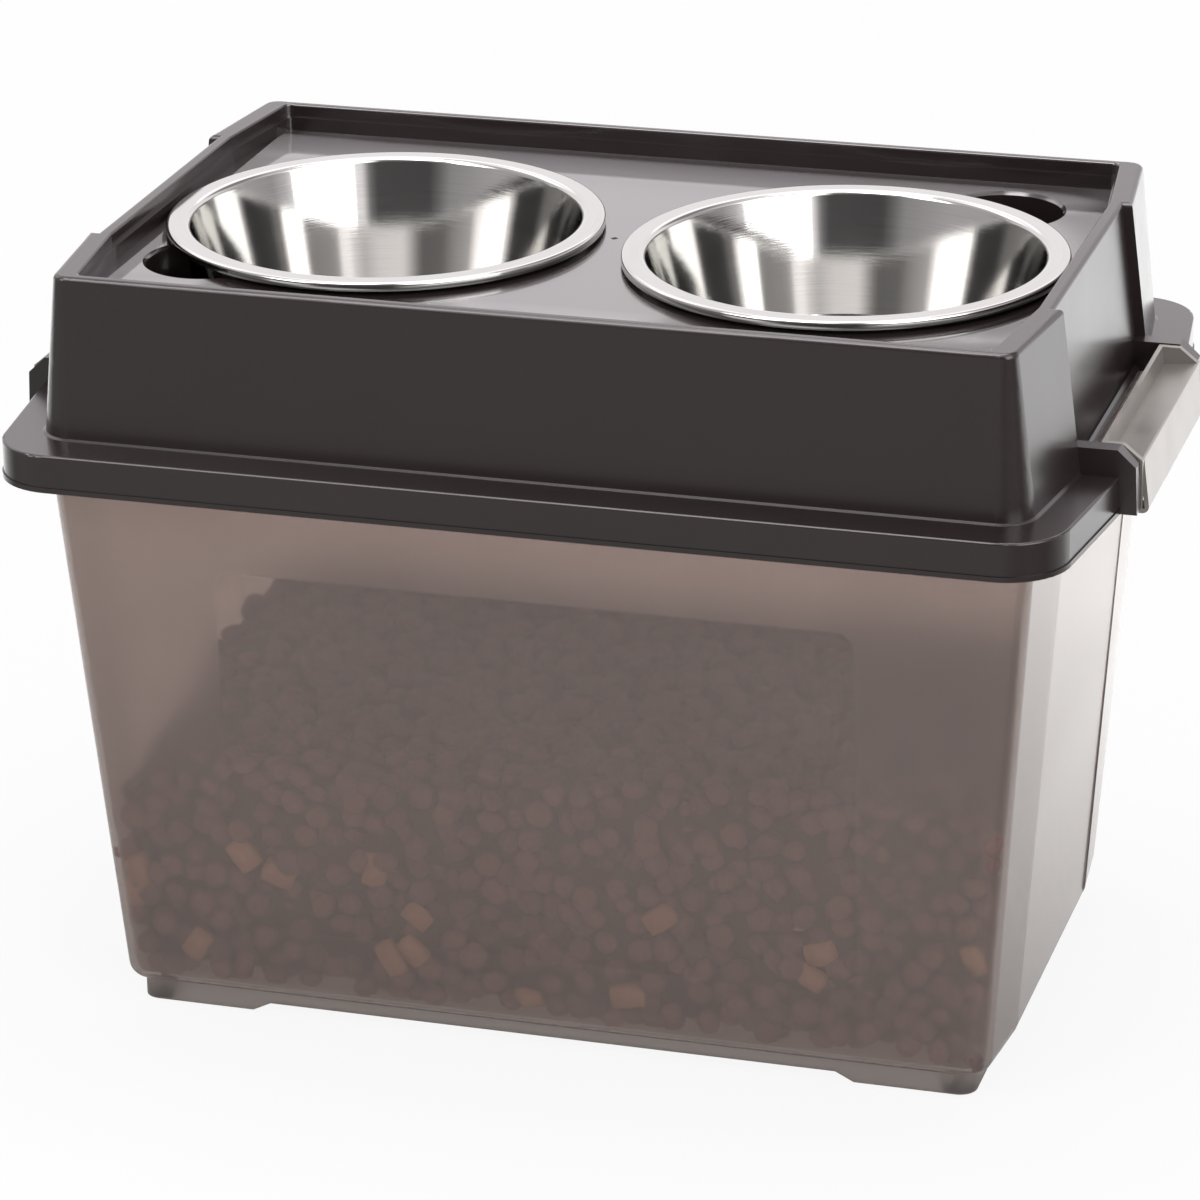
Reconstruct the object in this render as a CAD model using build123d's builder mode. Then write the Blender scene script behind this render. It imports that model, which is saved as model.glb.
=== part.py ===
"""Elevated dog feeder with storage: a tapered food bin on four rubber feet, a latched lid
that is also the feeding table, and two stainless bowls hung in wells in the lid.

Frame: millimetres, +Z up, +X to the right, -Y to the front. The origin is on the floor,
under the middle of the bin.
"""
import os

from build123d import *

# ---------------------------------------------------------------- driving dimensions (mm)
# Storage bin
bin_height = 280.5          # underside of the body to the top of the rim
bin_top_half_width = 234.0  # at the corners
bin_top_half_depth = 149.8
bin_base_half_width = 212.9
bin_base_half_depth = 130.6
bin_wall = 2.8
bin_top_bow = 3.4           # how far each side post leans out from corner to panel
bin_base_bow = 4.5
bin_panel_recess = 0.9      # middle panel of each side, set in behind the posts
bin_corner_radius = 13.0
bin_edge_radius = 8.0       # rounded lower edge of the body
window_half_width = 153.0   # polished window in the front wall
window_top_drop = 56.0      # from the rim down to the window
window_bottom_rise = 38.0   # from the underside of the body up to the window
window_corner_radius = 9.0
window_sink = 0.4

# Dry food heaped in the bin. Stations are parts of the bin's half width, from left to right;
# heights are from the bin's floor to the top of the heap at each of them.
food_stations = (-1.0, -0.87, -0.78, -0.5, -0.18, 0.21, 0.62, 1.0)
food_front_heights = (62.0, 97.0, 116.0, 120.0, 119.0, 131.0, 136.0, 122.0)
food_middle_heights = (114.0, 121.0, 125.0, 126.0, 124.0, 127.0, 130.0, 127.0)
food_back_heights = (130.0, 129.0, 128.0, 125.0, 124.0, 126.0, 128.0, 130.0)
food_middle_place = 0.25    # where the middle heights are taken, as a part of the half depth

# Rim of the bin, which carries the lid
rim_thickness = 2.5
rim_lip_height = 9.0
rim_lip_wall = 2.0
rim_overhang_side = 10.0
rim_overhang_front = 22.2
rim_corner_radius = 25.5

# Plinth, legs and feet
leg_height = 10.5
plinth_inset_side = 5.9     # plinth stands in from the underside of the body
plinth_inset_front = 5.6
plinth_wall = 2.6
plinth_corner_radius = 9.0
plinth_arch_rise = 4.5      # how far the plinth is cut up between the legs
leg_run_side = 57.5         # length of each leg along X
leg_run_front = 50.0        # length of each leg along Y
leg_ramp = 9.0
foot_radius = 7.0
foot_drop = 2.0
foot_flat_radius = 3.5
foot_stud_radius = 3.0
foot_stud_length = 5.0
foot_boss_wall = 1.6

# Lid: flange and skirt that close over the rim, and the riser with the tray on top
seal_width = 4.0
seal_stand = 3.2            # how far the seal stands out of its groove
seal_groove_depth = 0.8
seal_groove_gap = 0.1
seal_inset_front = 12.0     # seal's outer edge to the rim's outer edge, front and back
seal_inset_side = 1.3       # seal's outer edge to the flange's edge beside the latches
seal_corner_radius = 14.0
flange_thickness = 2.5
skirt_height = 18.0
skirt_wall = 2.5
skirt_gap = 2.0
skirt_bead = 0.6            # bead round the skirt's lower edge
skirt_bead_height = 2.4
flange_bow = 11.6
flange_edge_radius = 1.2
lid_ledge = 3.0             # flange left outside the riser's side panel, between the ears
plate_step = 0.5            # flange is this much thicker inside the riser
plate_opening_half_width = 232.0
plate_opening_half_depth = 151.0
plate_opening_radius = 10.0

riser_height = 77.5
riser_wall = 2.5
riser_base_ledge_side = 16.0   # flange left showing outside the riser
riser_base_ledge_front = 22.25
riser_draft_side = 7.5         # how far each wall leans in over the riser's height
riser_draft_front = 5.35
riser_base_bow = 9.6
riser_top_bow = 7.6
riser_panel_recess = 4.4       # middle panel of each side, between the latch ears
riser_base_corner = 16.0
riser_top_corner = 7.0
riser_cove = 1.4               # small slope where the riser meets the flange
riser_edge_radius = 2.6
post_edge = 80.5               # from the middle of a side to the edge of each post

tray_depth = 13.2
tray_rim_side = 11.0           # width of the tray's rim at the corners
tray_rim_front = 5.4
tray_ledge_depth = 6.5
tray_ledge_width = 1.8
tray_wall = 2.5
tray_edge_radius = 1.2
tray_corner_radius = 4.0
tray_floor_thickness = 2.5
crown_thickness = 2.5

# Bowls and the wells they hang in
bowl_spacing = 226.0
bowl_rim_radius = 105.0
bowl_rim_width = 11.0
bowl_rim_rise = 5.8            # top of the bowl's rim above the tray
bowl_sheet = 1.0
bowl_curl_height = 4.0
bowl_depth = 66.0
bowl_wall_lean = 16.0          # how far the wall leans in from the rim to the floor
bowl_base_bend = 10.0
bowl_edge_bend = 3.0           # from the wall over to the flat rim
bowl_curl_bend = 1.6
well_clearance = 1.1           # around the bowl's wall, below its rim
well_lip_width = 2.5
well_groove_width = 3.2
well_groove_depth = 3.0
well_wall = 2.5
well_draft = 6.0
well_floor_gap = 1.6
pocket_radius = 28.5
pocket_depth = 22.0
pocket_edge_break = 1.5
left_pocket = (-66.0, -69.0)   # centre of each finger pocket, from its bowl's centre
right_pocket = (54.0, 98.0)

# Latches and the ears that carry them
ear_thickness = 9.0
ear_rise = 12.5                # ear's top above the flange
ear_reach = 8.2                # ear's outer face beyond the flange
ear_slope_run = 9.4            # sloped shoulder of the ear
ear_slope_drop = 7.9
ear_shoulder_step = 0.9
ear_rim_gap = 2.5              # ear's inner edge to the rim
latch_end_gap = 0.5
latch_wall = 2.3
latch_end_wall = 3.5
latch_depth = 19.0             # inner edge to the ear's outer face
latch_proud = 0.3              # how far the latch's upper edge stands out of the ears
latch_top_drop = 0.5           # latch's rib below the top of the ears
latch_trough_depth = 8.5
latch_trough_rise = 1.7
latch_crease_run = 3.2         # inner edge to the bottom of the trough
latch_rib_width = 2.1
latch_flare = 3.2              # how far the face leans out towards its lower edge
latch_drop = 3.5               # latch's lower edge below the skirt
latch_toe_radius = 3.2
latch_toe_return = 5.0         # length of the toe's turned-in edge
latch_edge_radius = 0.8
latch_cheek_drop = 7.2         # sloped shoulder of the latch's end plates
latch_cheek_run = 9.0
latch_gusset_pitch = 27.0
latch_gusset_count = 5
latch_gusset_width = 1.6
latch_gusset_drop = 8.0        # how far each gusset runs down the face
latch_leg_setback = 2.0        # leg behind the latch's inner edge
latch_leg_wall = 2.2
latch_tooth_half_length = 30.0
latch_tooth_height = 2.8
latch_tooth_drop = 0.6         # tooth below the rim's lip
pivot_drop = 7.0               # pivot below the latch's top
pivot_inset = 6.7              # pivot outside the latch's inner edge
trunnion_radius = 2.5
trunnion_length = 4.6

# Clearances
seat_gap = 0.3                 # between a piece and the seat it rests on
running_clearance = 0.06       # trunnion in its hole, radial
stud_clearance = 0.05
hole_end_gap = 0.6

# ---------------------------------------------------------------- heights and widths that follow
bin_base_z = foot_drop + leg_height
rim_top_z = bin_base_z + bin_height
rim_lip_z = rim_top_z - rim_lip_height
flange_under_z = rim_top_z + seat_gap + seal_stand
flange_top_z = flange_under_z + flange_thickness
skirt_bottom_z = flange_top_z - skirt_height
riser_top_z = flange_top_z + riser_height
tray_z = riser_top_z - tray_depth
bowl_rim_z = tray_z + bowl_rim_rise

bin_panel_x = bin_top_half_width + bin_top_bow - bin_panel_recess
rim_half_width = bin_top_half_width + rim_overhang_side
rim_half_depth = bin_top_half_depth + rim_overhang_front
flange_half_width = rim_half_width + skirt_gap + skirt_wall
flange_half_depth = rim_half_depth + skirt_gap + skirt_wall
flange_corner_radius = rim_corner_radius + skirt_gap + skirt_wall
flange_side_x = flange_half_width + flange_bow
rim_catch_x = bin_panel_x + rim_overhang_side
rim_bow = rim_catch_x - rim_half_width

riser_base_half_width = flange_half_width - riser_base_ledge_side
riser_base_half_depth = flange_half_depth - riser_base_ledge_front
riser_top_half_width = riser_base_half_width - riser_draft_side
riser_top_half_depth = riser_base_half_depth - riser_draft_front
riser_panel_x = riser_base_half_width + riser_base_bow - riser_panel_recess
tray_half_width = riser_top_half_width - tray_rim_side
tray_half_depth = riser_top_half_depth - tray_rim_front

well_radius = bowl_rim_radius - bowl_rim_width + bowl_sheet + well_clearance
well_groove_radius = well_radius + well_lip_width + well_groove_width
well_floor_z = bowl_rim_z - bowl_depth - well_floor_gap
well_floor_radius = well_radius - well_draft
well_collar_z = tray_z - well_groove_depth - well_wall
well_lip_z = bowl_rim_z - bowl_sheet - seat_gap
pocket_centres = (
    (left_pocket[0] - bowl_spacing / 2, left_pocket[1]),
    (right_pocket[0] + bowl_spacing / 2, right_pocket[1]),
)

flange_panel_x = riser_panel_x + lid_ledge
seal_half_width = flange_panel_x - seal_inset_side
seal_half_depth = rim_half_depth - seal_inset_front

ear_outer_x = flange_side_x + ear_reach
ear_top_z = flange_top_z + ear_rise
latch_inner_x = ear_outer_x - latch_depth
latch_top_z = ear_top_z - latch_top_drop
latch_bottom_z = skirt_bottom_z - latch_drop
latch_half_length = post_edge - ear_thickness - latch_end_gap
pivot_x = latch_inner_x + pivot_inset
pivot_z = latch_top_z - pivot_drop

plinth_half_width = bin_base_half_width - plinth_inset_side
plinth_half_depth = bin_base_half_depth - plinth_inset_front
foot_boss_radius = foot_radius + foot_boss_wall
foot_x = plinth_half_width - foot_boss_radius
foot_y = plinth_half_depth - foot_boss_radius


def side_outline(half_width, half_depth, bow, recess, corner_radius, panel_edge=post_edge):
    """Face of a plan outline with straight front and back. Each side leans out from its
    corners to the post edges, and the panel between the posts is set in by the recess."""
    edge_x = half_width + bow
    panel_x = edge_x - recess
    right_side = [
        (half_width, -half_depth),
        (edge_x, -panel_edge),
        (panel_x, -panel_edge),
        (panel_x, panel_edge),
        (edge_x, panel_edge),
        (half_width, half_depth),
    ]
    left_side = [(-x, -y) for x, y in right_side]
    with BuildLine() as outline:
        Polyline(*right_side, *left_side, close=True)
    make_face(outline.edges())
    corners = vertices().group_by(Axis.Y)[0] + vertices().group_by(Axis.Y)[-1]
    fillet(corners, corner_radius)


def bowed_outline(half_width, half_depth, bow, corner_radius):
    """Face of the same plan outline with no recess: the side runs straight between posts."""
    edge_x = half_width + bow
    right_side = [
        (half_width, -half_depth),
        (edge_x, -post_edge),
        (edge_x, post_edge),
        (half_width, half_depth),
    ]
    left_side = [(-x, -y) for x, y in right_side]
    with BuildLine() as outline:
        Polyline(*right_side, *left_side, close=True)
    make_face(outline.edges())
    corners = vertices().group_by(Axis.Y)[0] + vertices().group_by(Axis.Y)[-1]
    fillet(corners, corner_radius)


def save(sub_part, name):
    """Label a finished piece and write its STEP file."""
    sub_part.label = name
    export_step(sub_part, f"parts/{name}.step")


os.makedirs("parts", exist_ok=True)

# ---------------------------------------------------------------- storage bin
with BuildPart() as storage_bin:
    # Rim plate with its down-turned lip
    with BuildSketch(Plane.XY.offset(rim_lip_z)):
        bowed_outline(rim_half_width, rim_half_depth, rim_bow, rim_corner_radius)
    extrude(amount=rim_lip_height)
    with BuildSketch(Plane.XY.offset(rim_lip_z)):
        bowed_outline(
            rim_half_width - rim_lip_wall,
            rim_half_depth - rim_lip_wall,
            rim_bow,
            rim_corner_radius - rim_lip_wall,
        )
    extrude(amount=rim_lip_height - rim_thickness, mode=Mode.SUBTRACT)

    # Tapered body with a rounded lower edge
    with BuildSketch(Plane.XY.offset(bin_base_z)):
        bowed_outline(bin_base_half_width, bin_base_half_depth, bin_base_bow, bin_corner_radius)
    with BuildSketch(Plane.XY.offset(rim_top_z)):
        bowed_outline(bin_top_half_width, bin_top_half_depth, bin_top_bow, bin_corner_radius)
    loft(ruled=True)
    fillet(edges().group_by(Axis.Z)[0], bin_edge_radius)

    # Side panels, set in between the posts
    for side in (-1, 1):
        for z, edge_x in (
            (bin_base_z, bin_base_half_width + bin_base_bow),
            (rim_lip_z, bin_top_half_width + bin_top_bow),
        ):
            with BuildSketch(Plane.XY.offset(z)):
                with Locations((side * (edge_x - bin_panel_recess + rim_overhang_side / 2), 0)):
                    Rectangle(rim_overhang_side, 2 * post_edge)
        loft(ruled=True, mode=Mode.SUBTRACT)

    # Hollow inside
    floor_z = bin_base_z + bin_wall
    with BuildSketch(Plane.XY.offset(floor_z)):
        bowed_outline(
            bin_base_half_width - bin_wall,
            bin_base_half_depth - bin_wall,
            bin_base_bow,
            bin_corner_radius - bin_wall,
        )
    with BuildSketch(Plane.XY.offset(rim_top_z)):
        bowed_outline(
            bin_top_half_width - bin_wall,
            bin_top_half_depth - bin_wall,
            bin_top_bow,
            bin_corner_radius - bin_wall,
        )
    loft(ruled=True, mode=Mode.SUBTRACT)
    inner_floor = faces().filter_by(Axis.Z).filter_by(lambda face: abs(face.center().Z - floor_z) < 0.01)
    fillet(inner_floor.edges(), bin_edge_radius - bin_wall)

    # Polished window, sunk a little into the front wall
    front_wall = faces().filter_by(lambda face: face.normal_at().Y < -0.9).sort_by(SortBy.AREA)[-1]
    front_lean = Plane(
        origin=(0, -bin_base_half_depth, bin_base_z),
        x_dir=(1, 0, 0),
        z_dir=front_wall.normal_at(),
    )
    wall_length = ((bin_top_half_depth - bin_base_half_depth) ** 2 + bin_height**2) ** 0.5
    window_height = wall_length - window_top_drop - window_bottom_rise
    with BuildSketch(front_lean):
        with Locations((0, window_bottom_rise + window_height / 2)):
            RectangleRounded(2 * window_half_width, window_height, window_corner_radius)
    extrude(amount=-window_sink, mode=Mode.SUBTRACT)

    # Plinth wall under the body, arched up between the legs
    with BuildSketch(Plane.XY.offset(foot_drop)):
        RectangleRounded(2 * plinth_half_width, 2 * plinth_half_depth, plinth_corner_radius)
        RectangleRounded(
            2 * (plinth_half_width - plinth_wall),
            2 * (plinth_half_depth - plinth_wall),
            plinth_corner_radius - plinth_wall,
            mode=Mode.SUBTRACT,
        )
    extrude(amount=leg_height + bin_wall / 2)
    for face_plane, half_span in (
        (Plane.XZ, plinth_half_width - leg_run_side),
        (Plane.YZ, plinth_half_depth - leg_run_front),
    ):
        with BuildSketch(face_plane):
            with BuildLine():
                Polyline(
                    (-half_span, foot_drop),
                    (-half_span + leg_ramp, foot_drop + plinth_arch_rise),
                    (half_span - leg_ramp, foot_drop + plinth_arch_rise),
                    (half_span, foot_drop),
                    close=True,
                )
            make_face()
        extrude(amount=2 * plinth_half_width, both=True, mode=Mode.SUBTRACT)

    # A boss in each leg, drilled for the foot's stud
    with BuildSketch(Plane.XY.offset(foot_drop)):
        with GridLocations(2 * foot_x, 2 * foot_y, 2, 2):
            Circle(foot_boss_radius)
    extrude(amount=leg_height + bin_wall / 2)
    with BuildSketch(Plane.XY.offset(foot_drop)):
        with GridLocations(2 * foot_x, 2 * foot_y, 2, 2):
            Circle(foot_stud_radius + stud_clearance)
    extrude(amount=foot_stud_length + hole_end_gap, mode=Mode.SUBTRACT)
save(storage_bin.part, "storage_bin")

# ---------------------------------------------------------------- dry food
with BuildPart() as food_heap:
    # Fill of the bin, a seat gap in from its walls, with the rounded edge of its floor
    fill_inset = bin_wall + seat_gap
    with BuildSketch(Plane.XY.offset(floor_z + seat_gap)):
        bowed_outline(
            bin_base_half_width - fill_inset,
            bin_base_half_depth - fill_inset,
            bin_base_bow,
            bin_corner_radius - fill_inset,
        )
    with BuildSketch(Plane.XY.offset(rim_top_z)):
        bowed_outline(
            bin_top_half_width - fill_inset,
            bin_top_half_depth - fill_inset,
            bin_top_bow,
            bin_corner_radius - fill_inset,
        )
    loft(ruled=True)
    fillet(edges().group_by(Axis.Z)[0], bin_edge_radius - bin_wall)

    # Keep what lies under the uneven top of the heap
    for place, heights in (
        (-1.0, food_front_heights),
        (food_middle_place, food_middle_heights),
        (1.0, food_back_heights),
    ):
        top_points = [
            (station * bin_top_half_width, floor_z + height)
            for station, height in zip(food_stations, heights)
        ]
        with BuildSketch(Plane.XZ.offset(-place * bin_top_half_depth)):
            with BuildLine():
                Spline(*top_points)
                Polyline(
                    top_points[-1],
                    (bin_top_half_width, floor_z),
                    (-bin_top_half_width, floor_z),
                    top_points[0],
                )
            make_face()
    loft(mode=Mode.INTERSECT)
save(food_heap.part, "food_heap")

# ---------------------------------------------------------------- feet
for row, foot_side_y in (("front", -foot_y), ("back", foot_y)):
    for column, foot_side_x in (("left", -foot_x), ("right", foot_x)):
        # Rubber pad with a domed sole and a stud that presses up into the leg's boss
        with BuildPart() as foot:
            with BuildSketch(Plane.XZ.offset(-foot_side_y)):
                with BuildLine():
                    Polyline(
                        (foot_side_x + foot_flat_radius, 0),
                        (foot_side_x, 0),
                        (foot_side_x, foot_drop + foot_stud_length),
                        (foot_side_x + foot_stud_radius, foot_drop + foot_stud_length),
                        (foot_side_x + foot_stud_radius, foot_drop),
                        (foot_side_x + foot_radius, foot_drop),
                    )
                    TangentArc(
                        (foot_side_x + foot_flat_radius, 0),
                        (foot_side_x + foot_radius, foot_drop),
                        tangent=(1, 0),
                    )
                make_face()
            revolve(axis=Axis((foot_side_x, foot_side_y, 0), (0, 0, 1)))
        save(foot.part, f"foot_{row}_{column}")

# ---------------------------------------------------------------- bowls
for name, centre_x in (("bowl_left", -bowl_spacing / 2), ("bowl_right", bowl_spacing / 2)):
    # Pressed stainless sheet: flat floor, leaning wall, flat rim curled down at its edge
    with BuildPart() as bowl:
        inner_radius = bowl_rim_radius - bowl_rim_width
        bowl_axis = Plane(origin=(centre_x, 0, 0), x_dir=(1, 0, 0), z_dir=(0, -1, 0))
        with BuildSketch(bowl_axis):
            with BuildLine():
                FilletPolyline(
                    (0, bowl_rim_z - bowl_depth + bowl_sheet),
                    (inner_radius - bowl_wall_lean, bowl_rim_z - bowl_depth + bowl_sheet),
                    (inner_radius, bowl_rim_z),
                    (bowl_rim_radius, bowl_rim_z),
                    (bowl_rim_radius, bowl_rim_z - bowl_curl_height),
                    radius=[bowl_base_bend, bowl_edge_bend, bowl_curl_bend],
                )
                offset(amount=bowl_sheet, side=Side.RIGHT)
            make_face()
        revolve(axis=Axis((centre_x, 0, 0), (0, 0, 1)))
    save(bowl.part, name)

# ---------------------------------------------------------------- lid
with BuildPart() as feeder_lid:
    # Flange that covers the rim, with its skirt, open between the latch ears
    with BuildSketch(Plane.XY.offset(skirt_bottom_z)):
        side_outline(
            flange_half_width,
            flange_half_depth,
            flange_bow,
            flange_side_x - flange_panel_x,
            flange_corner_radius,
        )
    extrude(amount=skirt_height)
    flange_edge = edges().group_by(Axis.Z)[-1].filter_by(lambda edge: abs(edge.center().Y) > post_edge)
    fillet(flange_edge, flange_edge_radius)
    with BuildSketch(Plane.XY.offset(skirt_bottom_z)):
        side_outline(
            flange_half_width + skirt_bead,
            flange_half_depth + skirt_bead,
            flange_bow,
            flange_side_x + skirt_bead - flange_panel_x,
            flange_corner_radius + skirt_bead,
        )
    extrude(amount=skirt_bead_height)
    with BuildSketch(Plane.XY.offset(skirt_bottom_z)):
        bowed_outline(
            flange_half_width - skirt_wall,
            flange_half_depth - skirt_wall,
            flange_bow,
            flange_corner_radius - skirt_wall,
        )
    extrude(amount=skirt_height - flange_thickness, mode=Mode.SUBTRACT)

    # Tapered riser with a rounded top edge
    with BuildSketch(Plane.XY.offset(flange_top_z)):
        side_outline(
            riser_base_half_width,
            riser_base_half_depth,
            riser_base_bow,
            riser_panel_recess,
            riser_base_corner,
        )
    with BuildSketch(Plane.XY.offset(riser_top_z)):
        side_outline(
            riser_top_half_width,
            riser_top_half_depth,
            riser_top_bow,
            riser_panel_recess,
            riser_top_corner,
        )
    loft(ruled=True)
    fillet(edges().group_by(Axis.Z)[-1], riser_edge_radius)

    # Small slope where the riser meets the flange
    with BuildSketch(Plane.XY.offset(flange_top_z)):
        side_outline(
            riser_base_half_width + riser_cove,
            riser_base_half_depth + riser_cove,
            riser_base_bow,
            riser_panel_recess,
            riser_base_corner + riser_cove,
            post_edge + riser_cove,
        )
    with BuildSketch(Plane.XY.offset(flange_top_z + riser_cove)):
        side_outline(
            riser_base_half_width - riser_wall / 2,
            riser_base_half_depth - riser_wall / 2,
            riser_base_bow,
            riser_panel_recess,
            riser_base_corner - riser_wall / 2,
            post_edge + riser_cove,
        )
    loft(ruled=True)

    # Hollow of the riser, and the smaller opening through the flange below it
    with BuildSketch(Plane.XY.offset(flange_top_z + plate_step)):
        side_outline(
            riser_base_half_width - riser_wall,
            riser_base_half_depth - riser_wall,
            riser_base_bow,
            riser_panel_recess,
            riser_base_corner - riser_wall,
            post_edge + riser_wall,
        )
    with BuildSketch(Plane.XY.offset(riser_top_z - crown_thickness)):
        side_outline(
            riser_top_half_width - riser_wall,
            riser_top_half_depth - riser_wall,
            riser_top_bow,
            riser_panel_recess,
            riser_top_corner - riser_wall,
            post_edge + riser_wall,
        )
    loft(ruled=True, mode=Mode.SUBTRACT)
    with BuildSketch(Plane.XY.offset(flange_under_z)):
        RectangleRounded(2 * plate_opening_half_width, 2 * plate_opening_half_depth, plate_opening_radius)
    extrude(amount=flange_thickness + plate_step, mode=Mode.SUBTRACT)

    # Tray: its pan, then the recess in two stages, so that a ledge runs round half way down
    with BuildSketch(Plane.XY.offset(tray_z - tray_floor_thickness)):
        bowed_outline(
            tray_half_width + tray_wall,
            riser_top_half_depth - riser_wall / 2,
            riser_top_bow,
            tray_corner_radius + tray_wall,
        )
    extrude(amount=riser_top_z - crown_thickness - tray_z + tray_floor_thickness)
    with BuildSketch(Plane.XY.offset(riser_top_z)):
        bowed_outline(tray_half_width, tray_half_depth, riser_top_bow, tray_corner_radius)
    extrude(amount=-tray_ledge_depth, mode=Mode.SUBTRACT)
    tray_edge = faces().sort_by(Axis.Z)[-1].inner_wires()[0].edges()
    fillet(tray_edge, tray_edge_radius)
    with BuildSketch(Plane.XY.offset(riser_top_z)):
        bowed_outline(
            tray_half_width - tray_ledge_width,
            tray_half_depth - tray_ledge_width,
            riser_top_bow,
            tray_corner_radius - tray_ledge_width,
        )
    extrude(amount=-tray_depth, mode=Mode.SUBTRACT)

    # Wells: a closed cup under each bowl, with a lip that carries the bowl's rim
    for centre_x in (-bowl_spacing / 2, bowl_spacing / 2):
        well_plane = Plane(origin=(centre_x, 0, 0), x_dir=(1, 0, 0), z_dir=(0, -1, 0))
        with BuildSketch(well_plane):
            with BuildLine():
                Polyline(
                    (0, well_floor_z - well_wall),
                    (well_floor_radius + well_wall, well_floor_z - well_wall),
                    (well_radius + well_lip_width, well_collar_z - well_lip_width),
                    (well_groove_radius + well_wall, well_collar_z),
                    (well_groove_radius + well_wall, tray_z),
                    (well_radius + well_lip_width, tray_z),
                    (well_radius + well_lip_width, well_lip_z),
                    (0, well_lip_z),
                    close=True,
                )
            make_face()
        revolve(axis=Axis((centre_x, 0, 0), (0, 0, 1)))

    # Finger pockets beside the wells, closed below
    for centre_x, centre_y in pocket_centres:
        with BuildSketch(Plane.XY.offset(tray_z - pocket_depth - well_wall)):
            with Locations((centre_x, centre_y)):
                Circle(pocket_radius + well_wall)
        extrude(amount=pocket_depth + well_wall)

    # Space inside each cup, and a groove round its lip
    for centre_x in (-bowl_spacing / 2, bowl_spacing / 2):
        well_plane = Plane(origin=(centre_x, 0, 0), x_dir=(1, 0, 0), z_dir=(0, -1, 0))
        with BuildSketch(well_plane):
            with BuildLine():
                Polyline(
                    (0, well_floor_z),
                    (well_floor_radius, well_floor_z),
                    (well_radius, well_collar_z),
                    (well_radius, well_lip_z),
                    (0, well_lip_z),
                    close=True,
                )
            make_face()
            with Locations((well_groove_radius - well_groove_width / 2, tray_z - well_groove_depth / 2)):
                Rectangle(well_groove_width, well_groove_depth)
        revolve(axis=Axis((centre_x, 0, 0), (0, 0, 1)), mode=Mode.SUBTRACT)

    # Space inside each pocket, open to its cup, with a chamfer at the tray
    for centre_x, centre_y in pocket_centres:
        with BuildSketch(Plane.XY.offset(tray_z - pocket_depth)):
            with Locations((centre_x, centre_y)):
                Circle(pocket_radius)
        extrude(amount=pocket_depth + bowl_rim_rise, mode=Mode.SUBTRACT)
        with BuildSketch(Plane.XY.offset(tray_z)):
            with Locations((centre_x, centre_y)):
                Circle(pocket_radius + pocket_edge_break)
        extrude(amount=-pocket_edge_break, taper=45, mode=Mode.SUBTRACT)

    # Ears at both ends of each latch, with a blind hole for its trunnion
    for side in (-1, 1):
        for near_y in (-post_edge, post_edge - ear_thickness):
            with BuildSketch(Plane.XZ.offset(-near_y)):
                with BuildLine():
                    Polyline(
                        (side * (riser_panel_x - riser_wall / 2), flange_under_z),
                        (side * (riser_panel_x - riser_wall / 2), ear_top_z),
                        (side * (ear_outer_x - ear_slope_run), ear_top_z),
                        (side * (ear_outer_x - ear_shoulder_step), ear_top_z - ear_slope_drop),
                        (side * ear_outer_x, skirt_bottom_z),
                        (side * (rim_catch_x + ear_rim_gap), skirt_bottom_z),
                        (side * (rim_catch_x + ear_rim_gap), flange_under_z),
                        close=True,
                    )
                make_face()
            extrude(amount=-ear_thickness)
    with BuildSketch(Plane.XZ):
        with Locations((-pivot_x, pivot_z), (pivot_x, pivot_z)):
            Circle(trunnion_radius + running_clearance)
    extrude(amount=latch_half_length + trunnion_length + hole_end_gap, both=True, mode=Mode.SUBTRACT)

    # Groove for the seal
    with BuildSketch(Plane.XY.offset(flange_under_z)):
        RectangleRounded(
            2 * (seal_half_width + seal_groove_gap),
            2 * (seal_half_depth + seal_groove_gap),
            seal_corner_radius + seal_groove_gap,
        )
        RectangleRounded(
            2 * (seal_half_width - seal_width - seal_groove_gap),
            2 * (seal_half_depth - seal_width - seal_groove_gap),
            seal_corner_radius - seal_width - seal_groove_gap,
            mode=Mode.SUBTRACT,
        )
    extrude(amount=seal_groove_depth, mode=Mode.SUBTRACT)
save(feeder_lid.part, "feeder_lid")

# ---------------------------------------------------------------- seal
with BuildPart() as lid_seal:
    # Soft ring that stands out of its groove and closes on the bin's rim
    with BuildSketch(Plane.XY.offset(rim_top_z + seat_gap)):
        RectangleRounded(2 * seal_half_width, 2 * seal_half_depth, seal_corner_radius)
        RectangleRounded(
            2 * (seal_half_width - seal_width),
            2 * (seal_half_depth - seal_width),
            seal_corner_radius - seal_width,
            mode=Mode.SUBTRACT,
        )
    extrude(amount=seal_stand + seal_groove_depth)
save(lid_seal.part, "lid_seal")

# ---------------------------------------------------------------- latches
latch_outer_x = ear_outer_x + latch_proud
latch_crease_x = latch_inner_x + latch_crease_run
latch_crease_z = latch_top_z - latch_trough_depth
latch_edge_z = latch_crease_z + latch_trough_rise
latch_toe_x = latch_outer_x + latch_flare
latch_leg_x = latch_inner_x + latch_leg_setback
tooth_tip_x = rim_catch_x + seat_gap
tooth_top_z = rim_lip_z - latch_tooth_drop

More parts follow.
